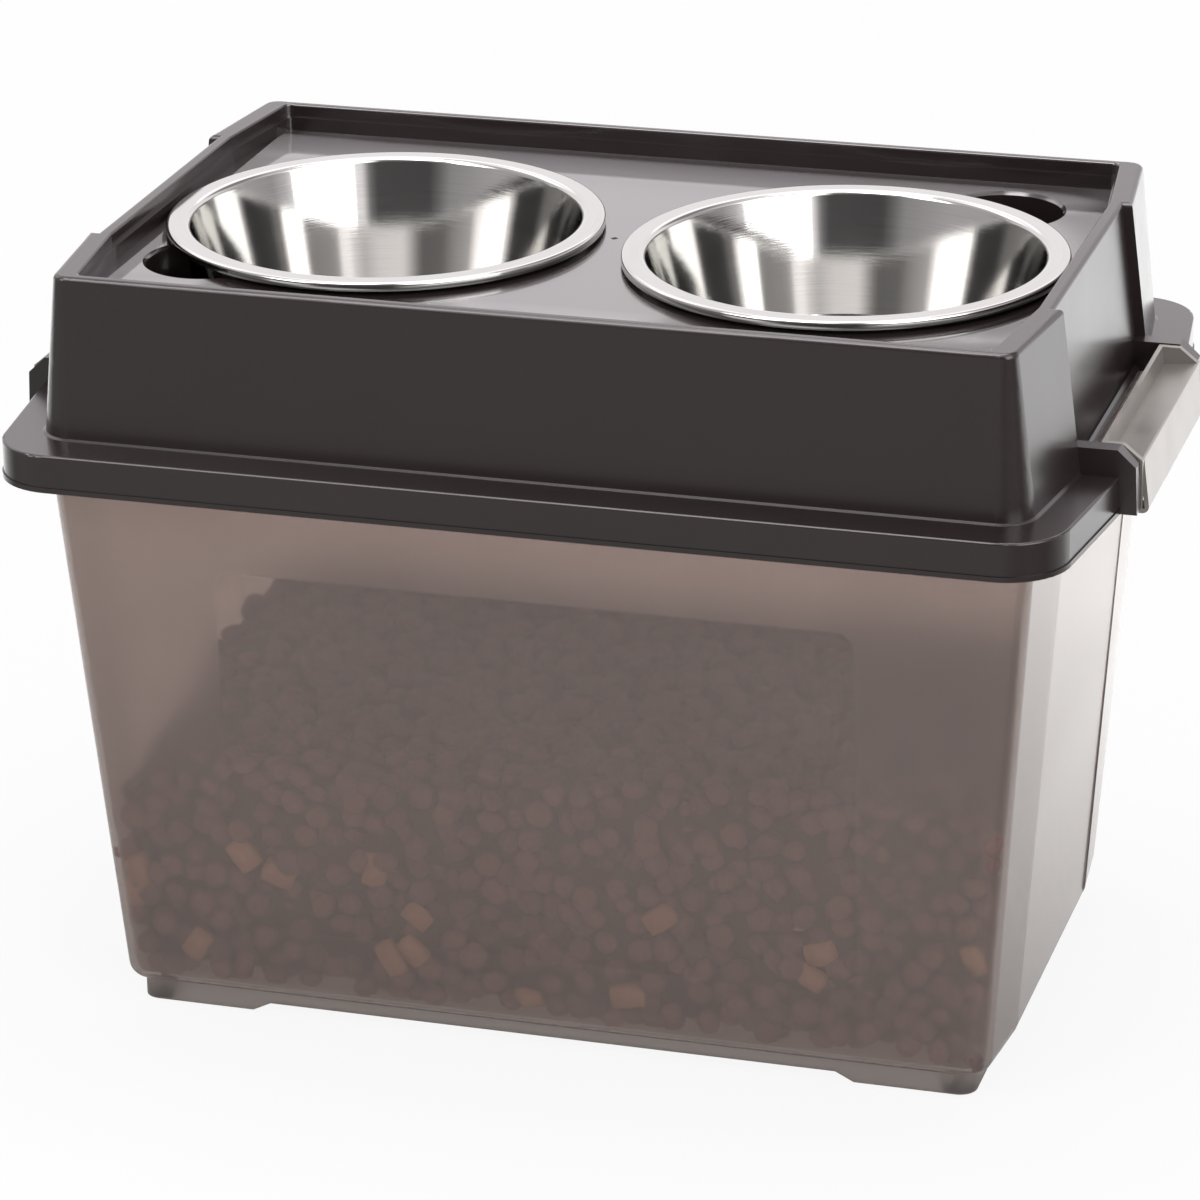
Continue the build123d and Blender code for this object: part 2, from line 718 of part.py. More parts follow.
with BuildPart() as latch_right:
    # Long moulded section: inner rib, trough for the fingers, face that leans out to a turned-in toe
    with BuildSketch(Plane.XZ):
        with BuildLine():
            Polyline(
                (latch_inner_x, latch_top_z),
                (latch_inner_x + latch_rib_width, latch_top_z),
                (latch_crease_x, latch_crease_z),
                (latch_outer_x, latch_edge_z),
                (latch_toe_x, latch_bottom_z),
                (latch_toe_x - latch_toe_return, latch_bottom_z),
                (latch_toe_x - latch_toe_return, latch_bottom_z + latch_wall),
                (latch_toe_x - latch_wall, latch_bottom_z + latch_wall),
                (latch_outer_x - latch_wall, latch_edge_z - latch_wall),
                (latch_crease_x, latch_crease_z - latch_wall),
                (latch_inner_x, latch_crease_z - latch_wall),
                close=True,
            )
        make_face()
        toe = vertices().group_by(Axis.Y)[0].sort_by(Axis.X)[-1]
        fillet(toe, latch_toe_radius)
        upper_edge = vertices().filter_by(lambda vertex: vertex.Y == latch_edge_z)
        fillet(upper_edge, latch_edge_radius)
    extrude(amount=latch_half_length - latch_end_wall, both=True)

    # Leg with the tooth that catches below the rim's lip
    with BuildSketch(Plane.XZ):
        with BuildLine():
            Polyline(
                (latch_leg_x, latch_crease_z - latch_wall / 2),
                (latch_leg_x, tooth_top_z),
                (tooth_tip_x, tooth_top_z),
                (tooth_tip_x, tooth_top_z - latch_tooth_height / 2),
                (latch_leg_x, tooth_top_z - latch_tooth_height),
                (latch_leg_x + latch_leg_wall, tooth_top_z - latch_tooth_height),
                (latch_leg_x + latch_leg_wall, latch_crease_z - latch_wall / 2),
                close=True,
            )
        make_face()
    extrude(amount=latch_tooth_half_length, both=True)

    # Gussets between the trough and the face, short enough to leave room for the fingers below
    for index in range(latch_gusset_count):
        gusset_y = (index - (latch_gusset_count - 1) / 2) * latch_gusset_pitch
        with BuildSketch(Plane.XZ.offset(gusset_y - latch_gusset_width / 2)):
            with BuildLine():
                Polyline(
                    (latch_leg_x + latch_leg_wall / 2, latch_crease_z - latch_wall / 2),
                    (latch_outer_x - latch_wall / 2, latch_edge_z - latch_wall / 2),
                    (latch_outer_x - latch_wall / 2, latch_edge_z - latch_wall - latch_gusset_drop),
                    close=True,
                )
            make_face()
        extrude(amount=latch_gusset_width)

    # End plates with sloped shoulders, and a trunnion on each
    for near_y in (-latch_half_length, latch_half_length - latch_end_wall):
        with BuildSketch(Plane.XZ.offset(-near_y)):
            with BuildLine():
                Polyline(
                    (latch_inner_x, latch_top_z),
                    (latch_outer_x - latch_cheek_run, latch_top_z),
                    (latch_outer_x, latch_top_z - latch_cheek_drop),
                    (latch_outer_x, latch_bottom_z + latch_toe_radius),
                    (latch_outer_x - latch_toe_radius, latch_bottom_z),
                    (latch_crease_x + latch_toe_radius, latch_bottom_z),
                    (latch_inner_x, skirt_bottom_z + latch_toe_radius),
                    close=True,
                )
            make_face()
        extrude(amount=-latch_end_wall)
    for near_y in (-latch_half_length - trunnion_length, latch_half_length):
        with BuildSketch(Plane.XZ.offset(-near_y)):
            with Locations((pivot_x, pivot_z)):
                Circle(trunnion_radius)
        extrude(amount=-trunnion_length)
save(latch_right.part, "latch_right")

with BuildPart() as latch_left:
    mirror(latch_right.part, about=Plane.YZ)
save(latch_left.part, "latch_left")
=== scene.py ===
"""Elevated dog feeder with storage: looks, contents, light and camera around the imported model.

Metres, +Z up, +X to the right, -Y to the front, the same frame as the CAD nodes.
"""
import math

import bpy
import numpy as np
from mathutils import Matrix, Vector


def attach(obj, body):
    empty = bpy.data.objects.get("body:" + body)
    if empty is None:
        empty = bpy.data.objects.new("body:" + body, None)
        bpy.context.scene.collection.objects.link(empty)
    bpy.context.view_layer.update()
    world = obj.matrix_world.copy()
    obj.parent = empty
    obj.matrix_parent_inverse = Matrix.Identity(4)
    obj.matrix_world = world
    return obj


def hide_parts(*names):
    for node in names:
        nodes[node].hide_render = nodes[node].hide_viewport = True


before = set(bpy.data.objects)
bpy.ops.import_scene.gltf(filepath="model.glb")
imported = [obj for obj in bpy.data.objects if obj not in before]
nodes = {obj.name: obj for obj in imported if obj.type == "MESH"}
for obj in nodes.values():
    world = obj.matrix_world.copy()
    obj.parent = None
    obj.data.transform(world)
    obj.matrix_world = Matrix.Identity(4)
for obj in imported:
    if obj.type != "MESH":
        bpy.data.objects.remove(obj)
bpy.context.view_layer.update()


# ---------------------------------------------------------------- storage bin
# One injection moulding in smoke-tinted clear polypropylene. Its walls have a fine frost that blurs
# what lies behind them, a polished window sunk into the front wall shows the food more sharply, and
# the plinth below is thick and cloudy.

SMOKE_IOR = 1.49
SMOKE_TRANSMISSION = 0.84
WALL_GRAIN = (1100.0, 11.0, 0.00008)         # scales of the grain and of the clouds, depth of the bump
FROST_ROUGHNESS = (0.205, 0.25)              # low on the walls, where the food has rubbed them, and high
FROST_RISE = (0.11, 0.17)                    # heights between which it goes from one to the other
FROST_SPREAD = 0.015                         # what the clouds in the frost add to its roughness
WINDOW_ROUGHNESS = 0.05
PLINTH_ROUGHNESS = 0.75
SMOKE_TINT = (0.517, 0.430, 0.399, 1.0)      # what one wall lets through
CLOUD_DEPTH = 0.94                           # what the deeper clouds let through, beside the rest
PLINTH_TINT = (0.42, 0.37, 0.345, 1.0)
SMOKE_SHADOW = (0.82, 0.80, 0.78, 1.0)       # what each face of a wall lets through to lamps
BODY_BASE_Z = 0.0125
WINDOW_CENTRE_Z = 0.1438
WINDOW_HALF_SIZE = (0.153, 0.0932)
WINDOW_CORNER = 0.009
WINDOW_FRONT_Y = -0.12
FACET_X = (0.2074, 0.0752)                   # inner face of the short sides, and how it leans out
FACET_Y = (0.0714, 0.0684)                   # where their slanting ends begin, and how that leans out
FACET_PAINTED_SHADE_DEPTH = 0.84                           # painted shade: how much deeper the slanting ends are tinted, beside the rest


def new_material(name):
    """A node material of a Principled shader and an output: returns the material, tree and shader."""
    material = bpy.data.materials.new(name)
    material.use_nodes = True
    tree = material.node_tree
    tree.nodes.clear()
    output = tree.nodes.new("ShaderNodeOutputMaterial")
    shader = tree.nodes.new("ShaderNodeBsdfPrincipled")
    tree.links.new(shader.outputs["BSDF"], output.inputs["Surface"])
    return material, tree, shader


def maths(tree, operation, *values, clamp=False):
    """A Math node whose inputs are numbers or sockets; returns its output."""
    node = tree.nodes.new("ShaderNodeMath")
    node.operation = operation
    node.use_clamp = clamp
    for socket, value in zip(node.inputs, values):
        if isinstance(value, (int, float)):
            socket.default_value = value
        else:
            tree.links.new(value, socket)
    return node.outputs[0]


def object_axes(tree):
    """Object coordinates, split: returns the vector and its X, Y and Z."""
    place = tree.nodes.new("ShaderNodeTexCoord").outputs["Object"]
    split = tree.nodes.new("ShaderNodeSeparateXYZ")
    tree.links.new(place, split.inputs[0])
    return place, split.outputs[0], split.outputs[1], split.outputs[2]


def moulded_grain_group():
    """Node group for a moulded surface. Height is a slow ripple of the mould plus a tenth of a fine
    spark grain; Patches is a soft cloud mask from 0 to 1 for uneven gloss and haze."""
    group = bpy.data.node_groups.new("moulded_grain", "ShaderNodeTree")
    face = group.interface
    face.new_socket("Vector", in_out="INPUT", socket_type="NodeSocketVector")
    face.new_socket("Grain Scale", in_out="INPUT", socket_type="NodeSocketFloat").default_value = 900.0
    face.new_socket("Patch Scale", in_out="INPUT", socket_type="NodeSocketFloat").default_value = 9.0
    face.new_socket("Height", in_out="OUTPUT", socket_type="NodeSocketFloat")
    face.new_socket("Patches", in_out="OUTPUT", socket_type="NodeSocketFloat")
    source = group.nodes.new("NodeGroupInput")
    sink = group.nodes.new("NodeGroupOutput")
    grain = group.nodes.new("ShaderNodeTexNoise")
    ripple = group.nodes.new("ShaderNodeTexNoise")
    patches = group.nodes.new("ShaderNodeTexNoise")
    grain.inputs["Detail"].default_value = 3.0
    ripple.inputs["Scale"].default_value = 14.0
    ripple.inputs["Detail"].default_value = 0.0
    patches.inputs["Detail"].default_value = 4.0
    patches.inputs["Roughness"].default_value = 0.6
    for node in (grain, ripple, patches):
        group.links.new(source.outputs["Vector"], node.inputs["Vector"])
    group.links.new(source.outputs["Grain Scale"], grain.inputs["Scale"])
    group.links.new(source.outputs["Patch Scale"], patches.inputs["Scale"])
    fine = maths(group, "MULTIPLY", grain.outputs["Fac"], 0.1)
    height = maths(group, "ADD", ripple.outputs["Fac"], fine)
    group.links.new(height, sink.inputs["Height"])
    spread = group.nodes.new("ShaderNodeMapRange")
    spread.interpolation_type = "SMOOTHSTEP"
    spread.inputs["From Min"].default_value = 0.25
    spread.inputs["From Max"].default_value = 0.75
    group.links.new(patches.outputs["Fac"], spread.inputs["Value"])
    group.links.new(spread.outputs["Result"], sink.inputs["Patches"])
    return group


moulded_grain = moulded_grain_group()


def add_grain(tree, shader, place, grain_scale, patch_scale, depth, polish=None, form=None):
    """Puts the moulded grain on a shader as bump of the given depth, over a form's normal when there is
    one, and leaves it out where the polish mask is 1; returns the patch mask."""
    grain = tree.nodes.new("ShaderNodeGroup")
    grain.node_tree = moulded_grain
    grain.inputs["Grain Scale"].default_value = grain_scale
    grain.inputs["Patch Scale"].default_value = patch_scale
    tree.links.new(place, grain.inputs["Vector"])
    bump = tree.nodes.new("ShaderNodeBump")
    bump.inputs["Strength"].default_value = 1.0
    bump.inputs["Distance"].default_value = depth
    if polish:
        tree.links.new(maths(tree, "SUBTRACT", 1.0, polish), bump.inputs["Strength"])
    if form:
        tree.links.new(form, bump.inputs["Normal"])
    tree.links.new(grain.outputs["Height"], bump.inputs["Height"])
    tree.links.new(bump.outputs["Normal"], shader.inputs["Normal"])
    return grain.outputs["Patches"]


def blend_values(tree, mask, low, high):
    """A value that runs from low to high as the mask runs from 0 to 1."""
    node = tree.nodes.new("ShaderNodeMapRange")
    node.inputs["To Min"].default_value = low
    node.inputs["To Max"].default_value = high
    tree.links.new(mask, node.inputs["Value"])
    return node.outputs["Result"]


def blend_numbers(tree, mask, low, high):
    """A value that runs from one number or socket to another as the mask runs from 0 to 1."""
    node = tree.nodes.new("ShaderNodeMix")
    for socket, value in ((node.inputs["A"], low), (node.inputs["B"], high)):
        if isinstance(value, float):
            socket.default_value = value
        else:
            tree.links.new(value, socket)
    tree.links.new(mask, node.inputs["Factor"])
    return node.outputs["Result"]


def blend_colours(tree, mask, low, high):
    """A colour that runs from low to high as the mask runs from 0 to 1."""
    node = tree.nodes.new("ShaderNodeMix")
    node.data_type = "RGBA"
    for socket, value in ((node.inputs["A"], low), (node.inputs["B"], high)):
        if isinstance(value, tuple):
            socket.default_value = value
        else:
            tree.links.new(value, socket)
    tree.links.new(mask, node.inputs["Factor"])
    return node.outputs["Result"]


def window_mask(tree, x, y, z):
    """1 inside the window and 0 outside: the point's distance past the straight part of each side, then
    the length of the two together, set against the corner's radius."""
    past = []
    half_width, half_height = WINDOW_HALF_SIZE
    for position, centre, half in ((x, 0.0, half_width), (z, WINDOW_CENTRE_Z, half_height)):
        offset = maths(tree, "ABSOLUTE", maths(tree, "SUBTRACT", position, centre))
        beyond = maths(tree, "MAXIMUM", maths(tree, "SUBTRACT", offset, half - WINDOW_CORNER), 0.0)
        past.append(maths(tree, "POWER", beyond, 2.0))
    distance = maths(tree, "SQRT", maths(tree, "ADD", *past))
    inside = maths(tree, "LESS_THAN", distance, WINDOW_CORNER)
    return maths(tree, "MULTIPLY", inside, maths(tree, "LESS_THAN", y, WINDOW_FRONT_Y))


def painted_shade_facet_mask(tree, x, y, z):
    """1 on the slanting ends of the short sides, where a deeper tint is painted shade, and 0 elsewhere:
    both the width and the depth are past an edge that leans out evenly with the height."""
    parts = []
    for position, (foot, lean) in ((x, FACET_X), (y, FACET_Y)):
        edge = maths(tree, "MULTIPLY_ADD", z, lean, foot)
        parts.append(maths(tree, "GREATER_THAN", maths(tree, "ABSOLUTE", position), edge))
    return maths(tree, "MULTIPLY", *parts)


def deepened(colour, share):
    """The colour with its red, green and blue multiplied by the share."""
    return tuple(share * value for value in colour[:3]) + (1.0,)


def smoke_plastic():
    """Tinted plastic that lets light through: frosted walls, a polished window, slanting ends tinted
    deeper as painted shade, and a cloudy plinth. Lamps and matt light pass straight through its faces,
    dimmed."""
    material, tree, shader = new_material("smoke_plastic")
    place, x, y, z = object_axes(tree)
    shader.inputs["IOR"].default_value = SMOKE_IOR
    shader.inputs["Transmission Weight"].default_value = SMOKE_TRANSMISSION
    window = window_mask(tree, x, y, z)
    plinth = maths(tree, "LESS_THAN", z, BODY_BASE_Z)
    patches = add_grain(tree, shader, place, *WALL_GRAIN, polish=window)
    rise = tree.nodes.new("ShaderNodeMapRange")
    rise.interpolation_type = "SMOOTHSTEP"
    rise.inputs["From Min"].default_value, rise.inputs["From Max"].default_value = FROST_RISE
    tree.links.new(z, rise.inputs["Value"])
    frost = blend_values(tree, rise.outputs["Result"], *FROST_ROUGHNESS)
    frost = maths(tree, "MULTIPLY_ADD", patches, FROST_SPREAD, frost)
    frost = blend_numbers(tree, window, frost, WINDOW_ROUGHNESS)
    frost = blend_numbers(tree, plinth, frost, PLINTH_ROUGHNESS)
    tree.links.new(frost, shader.inputs["Roughness"])
    tint = blend_colours(tree, patches, deepened(SMOKE_TINT, CLOUD_DEPTH), SMOKE_TINT)
    # painted shade: the slanting ends of the short sides get a deeper tint
    tint = blend_colours(tree, painted_shade_facet_mask(tree, x, y, z), tint, deepened(SMOKE_TINT, FACET_PAINTED_SHADE_DEPTH))
    tree.links.new(blend_colours(tree, plinth, tint, PLINTH_TINT), shader.inputs["Base Color"])
    clear = tree.nodes.new("ShaderNodeBsdfTransparent")
    clear.inputs["Color"].default_value = SMOKE_SHADOW
    path = tree.nodes.new("ShaderNodeLightPath")
    passes = maths(tree, "MAXIMUM", path.outputs["Is Shadow Ray"], path.outputs["Is Diffuse Ray"])
    mix = tree.nodes.new("ShaderNodeMixShader")
    tree.links.new(passes, mix.inputs["Fac"])
    tree.links.new(shader.outputs["BSDF"], mix.inputs[1])
    tree.links.new(clear.outputs["BSDF"], mix.inputs[2])
    surface = tree.get_output_node("ALL").inputs["Surface"]
    tree.links.new(mix.outputs["Shader"], surface)
    return material


def dress(node_name, material):
    """Gives a CAD node one finished material."""
    mesh = nodes[node_name].data
    mesh.materials.clear()
    mesh.materials.append(material)


dress("storage_bin", smoke_plastic())


# ---------------------------------------------------------------- food in the bin
# Dry dog food, heaped about half way up: round red-brown pieces with a few square tan ones. Only the
# outer layer is made of pieces; a core fills the heap behind them, coloured darker than the pieces as
# painted shade in the gaps between and behind them. Together they stand for the solid heap, and follow
# its walls and its top.

FLOOR_Z = 0.0156
WALL_HALF_BASE = (0.2096, 0.1275)        # inside of the corners at the floor
WALL_LEAN = (0.0752, 0.0684)             # how far each wall leans out for each unit of height
SIDE_BOW = 0.0042                        # how far the middle of each short side stands out
SIDE_BOW_RUN = 0.055
SCATTER_LOW = (-0.226, -0.138)           # corners in plan of the box that holds the whole heap
SCATTER_HIGH = (0.226, 0.138)
SCATTER_TOP = 0.16
SCATTER_TRIES = 150000
PIECE_SPACING = 0.0091
SHELL_DEPTHS = (0.0042, 0.0160)          # depths of the centres below the heap's surface
BISCUIT_SHARE = 0.045
BISCUIT_TOP = 0.092                      # the square pieces have worked down below this height
KIBBLE_HALF_SIZE = (0.0069, 0.0061, 0.0046)
KIBBLE_SPREAD = (0.86, 1.14)             # least and most of each half size, beside the usual one
KIBBLE_POWERS = (2.5, 2.0)               # roundness from the side, and in plan, where 2 is a circle
KIBBLE_TILT = 0.55                       # usual tilt, in radians, off the wall that it lies against
BISCUIT_HALF_SIZE = (0.0090, 0.0058, 0.0046)
BISCUIT_SPREAD = (0.9, 1.12)
BISCUIT_POWERS = (5.0, 6.0)
BISCUIT_TILT = 0.25
CORE_INSET = 0.0080
CORE_GRID = (60, 36)
KIBBLE_COLOURS = ((0.106, 0.049, 0.049, 1.0), (0.202, 0.097, 0.096, 1.0))
BISCUIT_COLOURS = ((0.33, 0.175, 0.115, 1.0), (0.46, 0.27, 0.17, 1.0))
# painted shade: the core's colours are darker than the pieces', for the shade between and behind them
CORE_SHADE_COLOURS = ((0.045, 0.019, 0.016, 1.0), (0.085, 0.038, 0.032, 1.0))
FOOD_ROUGHNESS = (0.55, 0.85)
PIT_DEPTH = 0.0006
KIBBLE_PIT_SCALE = 420.0
BISCUIT_PIT_SCALE = 300.0
CORE_PIT_SCALE = 160.0
SPECKLE_SHARE = 0.7                      # how far the speckle moves a piece's tone

food_random = np.random.default_rng(7)


def heap_surface(node):
    """Height of the solid heap's top as a function of x and y: a polynomial, of the seventh power along
    X and the second along Y, fitted by least squares to the middles of the faces that look up."""
    mesh = node.data
    middles = np.empty(3 * len(mesh.polygons))
    normals = np.empty(3 * len(mesh.polygons))
    mesh.polygons.foreach_get("center", middles)
    mesh.polygons.foreach_get("normal", normals)
    x, y, z = middles.reshape(-1, 3)[normals.reshape(-1, 3)[:, 2] > 0.5].T

    def terms(x, y):
        """Each power of x times each power of y, both scaled to about 1 at the walls."""
        return np.stack([(5 * x) ** i * (7 * y) ** j for i in range(8) for j in range(3)], -1)

    weights = np.linalg.lstsq(terms(x, y), z, rcond=None)[0]
    return lambda x, y: terms(x, y) @ weights


heap_height = heap_surface(nodes["food_heap"])


def wall_reach(y, z):
    """Half width and half depth of the bin's inside: each is its size at the floor plus its lean times
    the height above it. Each short side is bowed: it runs out evenly from the corner to its middle."""
    rise = z - FLOOR_Z
    half_depth = WALL_HALF_BASE[1] + WALL_LEAN[1] * rise
    bow = SIDE_BOW * np.clip((half_depth - np.abs(y)) / SIDE_BOW_RUN, 0, 1)
    return WALL_HALF_BASE[0] + WALL_LEAN[0] * rise + bow, half_depth


def wall_inset(x, y, z):
    """Distances from points to the nearer short side, the nearer long side, the floor and the top."""
    half_width, half_depth = wall_reach(y, z)
    return np.stack([half_width - np.abs(x), half_depth - np.abs(y), z - FLOOR_Z, heap_height(x, y) - z])


def scatter_pieces(tries):
    """Centres in the heap's outer shell, at least one spacing apart: random points are taken one by
    one and kept where no kept point is near, looked up in a grid of cells one spacing wide."""
    low = np.array([*SCATTER_LOW, FLOOR_Z])
    high = np.array([*SCATTER_HIGH, SCATTER_TOP])
    points = food_random.uniform(low, high, (tries, 3))
    depth = wall_inset(*points.T).min(0)
    points = points[(depth > SHELL_DEPTHS[0]) & (depth < SHELL_DEPTHS[1])]
    cells = {}
    kept = []
    for point in points:
        cell = tuple((point // PIECE_SPACING).astype(int))
        near = [
            other
            for i in (-1, 0, 1) for j in (-1, 0, 1) for k in (-1, 0, 1)
            for other in cells.get((cell[0] + i, cell[1] + j, cell[2] + k), ())
        ]
        if near and ((np.array(near) - point) ** 2).sum(1).min() < PIECE_SPACING**2:
            continue
        cells.setdefault(cell, []).append(point)
        kept.append(point)
    return np.array(kept)


def block_shell(steps):
    """Surface of a cube from -1 to 1 with steps cells a side: its lattice points and its quads."""
    axis = np.linspace(-1, 1, steps + 1)
    index = {}
    corners = []
    quads = []

    def corner(key):
        """Number of the lattice point at these three steps, which is added when it is new."""
        if key not in index:
            index[key] = len(corners)
            corners.append([axis[value] for value in key])
        return index[key]

    for normal in range(3):
        u, v = (normal + 1) % 3, (normal + 2) % 3
        for level in (0, steps):
            for i in range(steps):
                for j in range(steps):
                    ring = []
                    for a, b in ((i, j), (i + 1, j), (i + 1, j + 1), (i, j + 1)):
                        key = [0, 0, 0]
                        key[normal], key[u], key[v] = level, a, b
                        ring.append(corner(tuple(key)))
                    quads.append(ring if level else ring[::-1])
    return np.array(corners), np.array(quads)


def pillow(shell, round_power, square_power):
    """Cube-shell points drawn onto a rounded block: each is divided by the length of its direction,
    measured with one power in plan and another between plan and height."""
    x, y, z = (np.abs(values) for values in shell.T)
    plan = (x**square_power + y**square_power) ** (1 / square_power)
    size = (plan**round_power + z**round_power) ** (1 / round_power)
    return shell / size[:, None]


def random_turns(count, tilt, axis):
    """Rotation matrices: a free spin about Z, then a tilt by a normal spread, then Z turned to axis."""
    spin = food_random.uniform(0, 2 * np.pi, count)
    lean = food_random.normal(0, 1, count) * tilt
    way = food_random.uniform(0, 2 * np.pi, count)
    zero, one = np.zeros(count), np.ones(count)

    def about_z(angle):
        """Rotation matrices about Z, from the cosine and sine of each angle."""
        c, s = np.cos(angle), np.sin(angle)
        return np.stack([c, -s, zero, s, c, zero, zero, zero, one], -1).reshape(-1, 3, 3)

    c, s = np.cos(lean), np.sin(lean)
    about_x = np.stack([one, zero, zero, zero, c, -s, zero, s, c], -1).reshape(-1, 3, 3)
    turned = about_z(way) @ about_x @ about_z(spin - way)
    side = np.cross(axis, np.where(np.abs(axis[:, 2:]) > 0.9, [[0.0, 1.0, 0.0]], [[0.0, 0.0, 1.0]]))
    side /= np.linalg.norm(side, axis=1)[:, None]
    frame_axes = np.stack([side, np.cross(axis, side), axis], -1)
    return frame_axes @ turned


def mesh_object(name, points, faces):
    """A smooth-shaded mesh object from an array of points and an array of faces with as many sides."""
    mesh = bpy.data.meshes.new(name)
    sides = faces.shape[1]
    mesh.vertices.add(len(points))
    mesh.vertices.foreach_set("co", points.astype(np.float32).ravel())
    mesh.loops.add(faces.size)
    mesh.loops.foreach_set("vertex_index", faces.astype(np.int32).ravel())
    mesh.polygons.add(len(faces))
    mesh.polygons.foreach_set("loop_start", np.arange(0, faces.size, sides, dtype=np.int32))
    mesh.polygons.foreach_set("use_smooth", np.full(len(faces), True))
    mesh.update(calc_edges=True)
    mesh.validate()
    obj = bpy.data.objects.new(name, mesh)
    bpy.context.scene.collection.objects.link(obj)
    return obj


def food_pieces(name, centres, shape, quads, sizes, tilt, material):
    """One mesh of many pieces: the shape scaled, turned to lie along the nearest wall, and moved to
    each centre. The tone attribute is one random value a piece."""
    count = len(centres)
    inset = wall_inset(*centres.T)
    inward = np.stack([
        np.stack([-np.sign(centres[:, 0]), 0 * centres[:, 0], 0 * centres[:, 0]], -1),
        np.stack([0 * centres[:, 0], -np.sign(centres[:, 1]), 0 * centres[:, 0]], -1),
        np.tile([0.0, 0.0, 1.0], (count, 1)),
        np.tile([0.0, 0.0, -1.0], (count, 1)),
    ])
    axis = inward[inset.argmin(0), np.arange(count)]
    turns = random_turns(count, tilt, axis)
    points = np.einsum("nij,nkj->nki", turns, shape[None] * sizes[:, None]) + centres[:, None]
    points[..., 2] = np.maximum(points[..., 2], FLOOR_Z)
    reach = np.stack(wall_reach(points[..., 1], points[..., 2]), -1)
    points[..., :2] = np.clip(points[..., :2], -reach, reach)
    faces = (quads[None] + (np.arange(count) * len(shape))[:, None, None]).reshape(-1, 4)
    obj = mesh_object(name, points.reshape(-1, 3), faces)
    tone = obj.data.attributes.new("tone", "FLOAT", "POINT")
    tones = np.repeat(food_random.uniform(0, 1, count), len(shape))
    tone.data.foreach_set("value", tones.astype(np.float32))
    obj.data.materials.append(material)
    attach(obj, "bin")


def food_material(name, dark, light, pit_scale):
    """Baked dry food: colour from each piece's tone and a fine speckle, rough, with small pits."""
    material, tree, shader = new_material(name)
    place = tree.nodes.new("ShaderNodeTexCoord").outputs["Object"]
    tone = tree.nodes.new("ShaderNodeAttribute")
    tone.attribute_name = "tone"
    speckle = tree.nodes.new("ShaderNodeTexNoise")
    speckle.inputs["Scale"].default_value = pit_scale
    speckle.inputs["Detail"].default_value = 4.0
    tree.links.new(place, speckle.inputs["Vector"])
    shade = maths(tree, "MULTIPLY_ADD", speckle.outputs["Fac"], SPECKLE_SHARE, -SPECKLE_SHARE / 2)
    shade = maths(tree, "ADD", tone.outputs["Fac"], shade, clamp=True)
    tree.links.new(blend_colours(tree, shade, dark, light), shader.inputs["Base Color"])
    roughness = blend_values(tree, speckle.outputs["Fac"], *FOOD_ROUGHNESS)
    tree.links.new(roughness, shader.inputs["Roughness"])
    bump = tree.nodes.new("ShaderNodeBump")
    bump.inputs["Distance"].default_value = PIT_DEPTH
    tree.links.new(speckle.outputs["Fac"], bump.inputs["Height"])
    tree.links.new(bump.outputs["Normal"], shader.inputs["Normal"])
    return material


kibble_material = food_material("kibble", *KIBBLE_COLOURS, KIBBLE_PIT_SCALE)
biscuit_material = food_material("biscuit", *BISCUIT_COLOURS, BISCUIT_PIT_SCALE)
core_shade_material = food_material("shaded_heap_core", *CORE_SHADE_COLOURS, CORE_PIT_SCALE)

centres = scatter_pieces(SCATTER_TRIES)
cube_points, cube_quads = block_shell(2)
is_biscuit = food_random.uniform(0, 1, len(centres)) < BISCUIT_SHARE
is_biscuit &= centres[:, 2] < BISCUIT_TOP
kibble_centres = centres[~is_biscuit]
kibble_sizes = np.array(KIBBLE_HALF_SIZE) * food_random.uniform(*KIBBLE_SPREAD, kibble_centres.shape)
is_front = kibble_centres[:, 1] < 0
for part, chosen in (("front", is_front), ("back", ~is_front)):
    food_pieces(f"kibble_{part}", kibble_centres[chosen], pillow(cube_points, *KIBBLE_POWERS), cube_quads,
                kibble_sizes[chosen], KIBBLE_TILT, kibble_material)
biscuit_centres = centres[is_biscuit]
biscuit_sizes = np.array(BISCUIT_HALF_SIZE) * food_random.uniform(*BISCUIT_SPREAD, biscuit_centres.shape)
food_pieces("biscuits", biscuit_centres, pillow(cube_points, *BISCUIT_POWERS), cube_quads,
            biscuit_sizes, BISCUIT_TILT, biscuit_material)


def shaded_heap_core(inset, columns, rows):
    """Closed lump inside the pieces: a grid in plan at the heap's top less the inset, the same grid at
    the floor, and a skirt of quads round the edge between the two."""
    u, v = np.meshgrid(np.linspace(-1, 1, columns), np.linspace(-1, 1, rows), indexing="ij")

    def level(z_of):
        """The grid at the heights that z_of gives, stretched to the walls there less the inset."""
        z = z_of(u * (WALL_HALF_BASE[0] - inset), v * (WALL_HALF_BASE[1] - inset))
        half_width, half_depth = wall_reach(v * WALL_HALF_BASE[1], z)
        return np.stack([u * (half_width - inset), v * (half_depth - inset), z], -1).reshape(-1, 3)

    top = level(lambda x, y: heap_height(x, y) - inset)
    base = level(lambda x, y: np.full_like(x, FLOOR_Z + inset))
    grid = np.arange(columns * rows).reshape(columns, rows)
    cells = np.stack([grid[:-1, :-1], grid[1:, :-1], grid[1:, 1:], grid[:-1, 1:]], -1).reshape(-1, 4)
    edge = np.concatenate([grid[:-1, 0], grid[-1, :-1], grid[:0:-1, -1], grid[0, :0:-1]])
    after = np.roll(edge, -1)
    count = columns * rows
    skirt = np.stack([edge + count, after + count, after, edge], -1)
    return np.concatenate([top, base]), np.concatenate([cells, cells[:, ::-1] + count, skirt])


# the core carries painted shade: it is coloured darker than the pieces in front of it
core = mesh_object("shaded_heap_core", *shaded_heap_core(CORE_INSET, *CORE_GRID))
core.data.materials.append(core_shade_material)
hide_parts("food_heap")
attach(core, "bin")


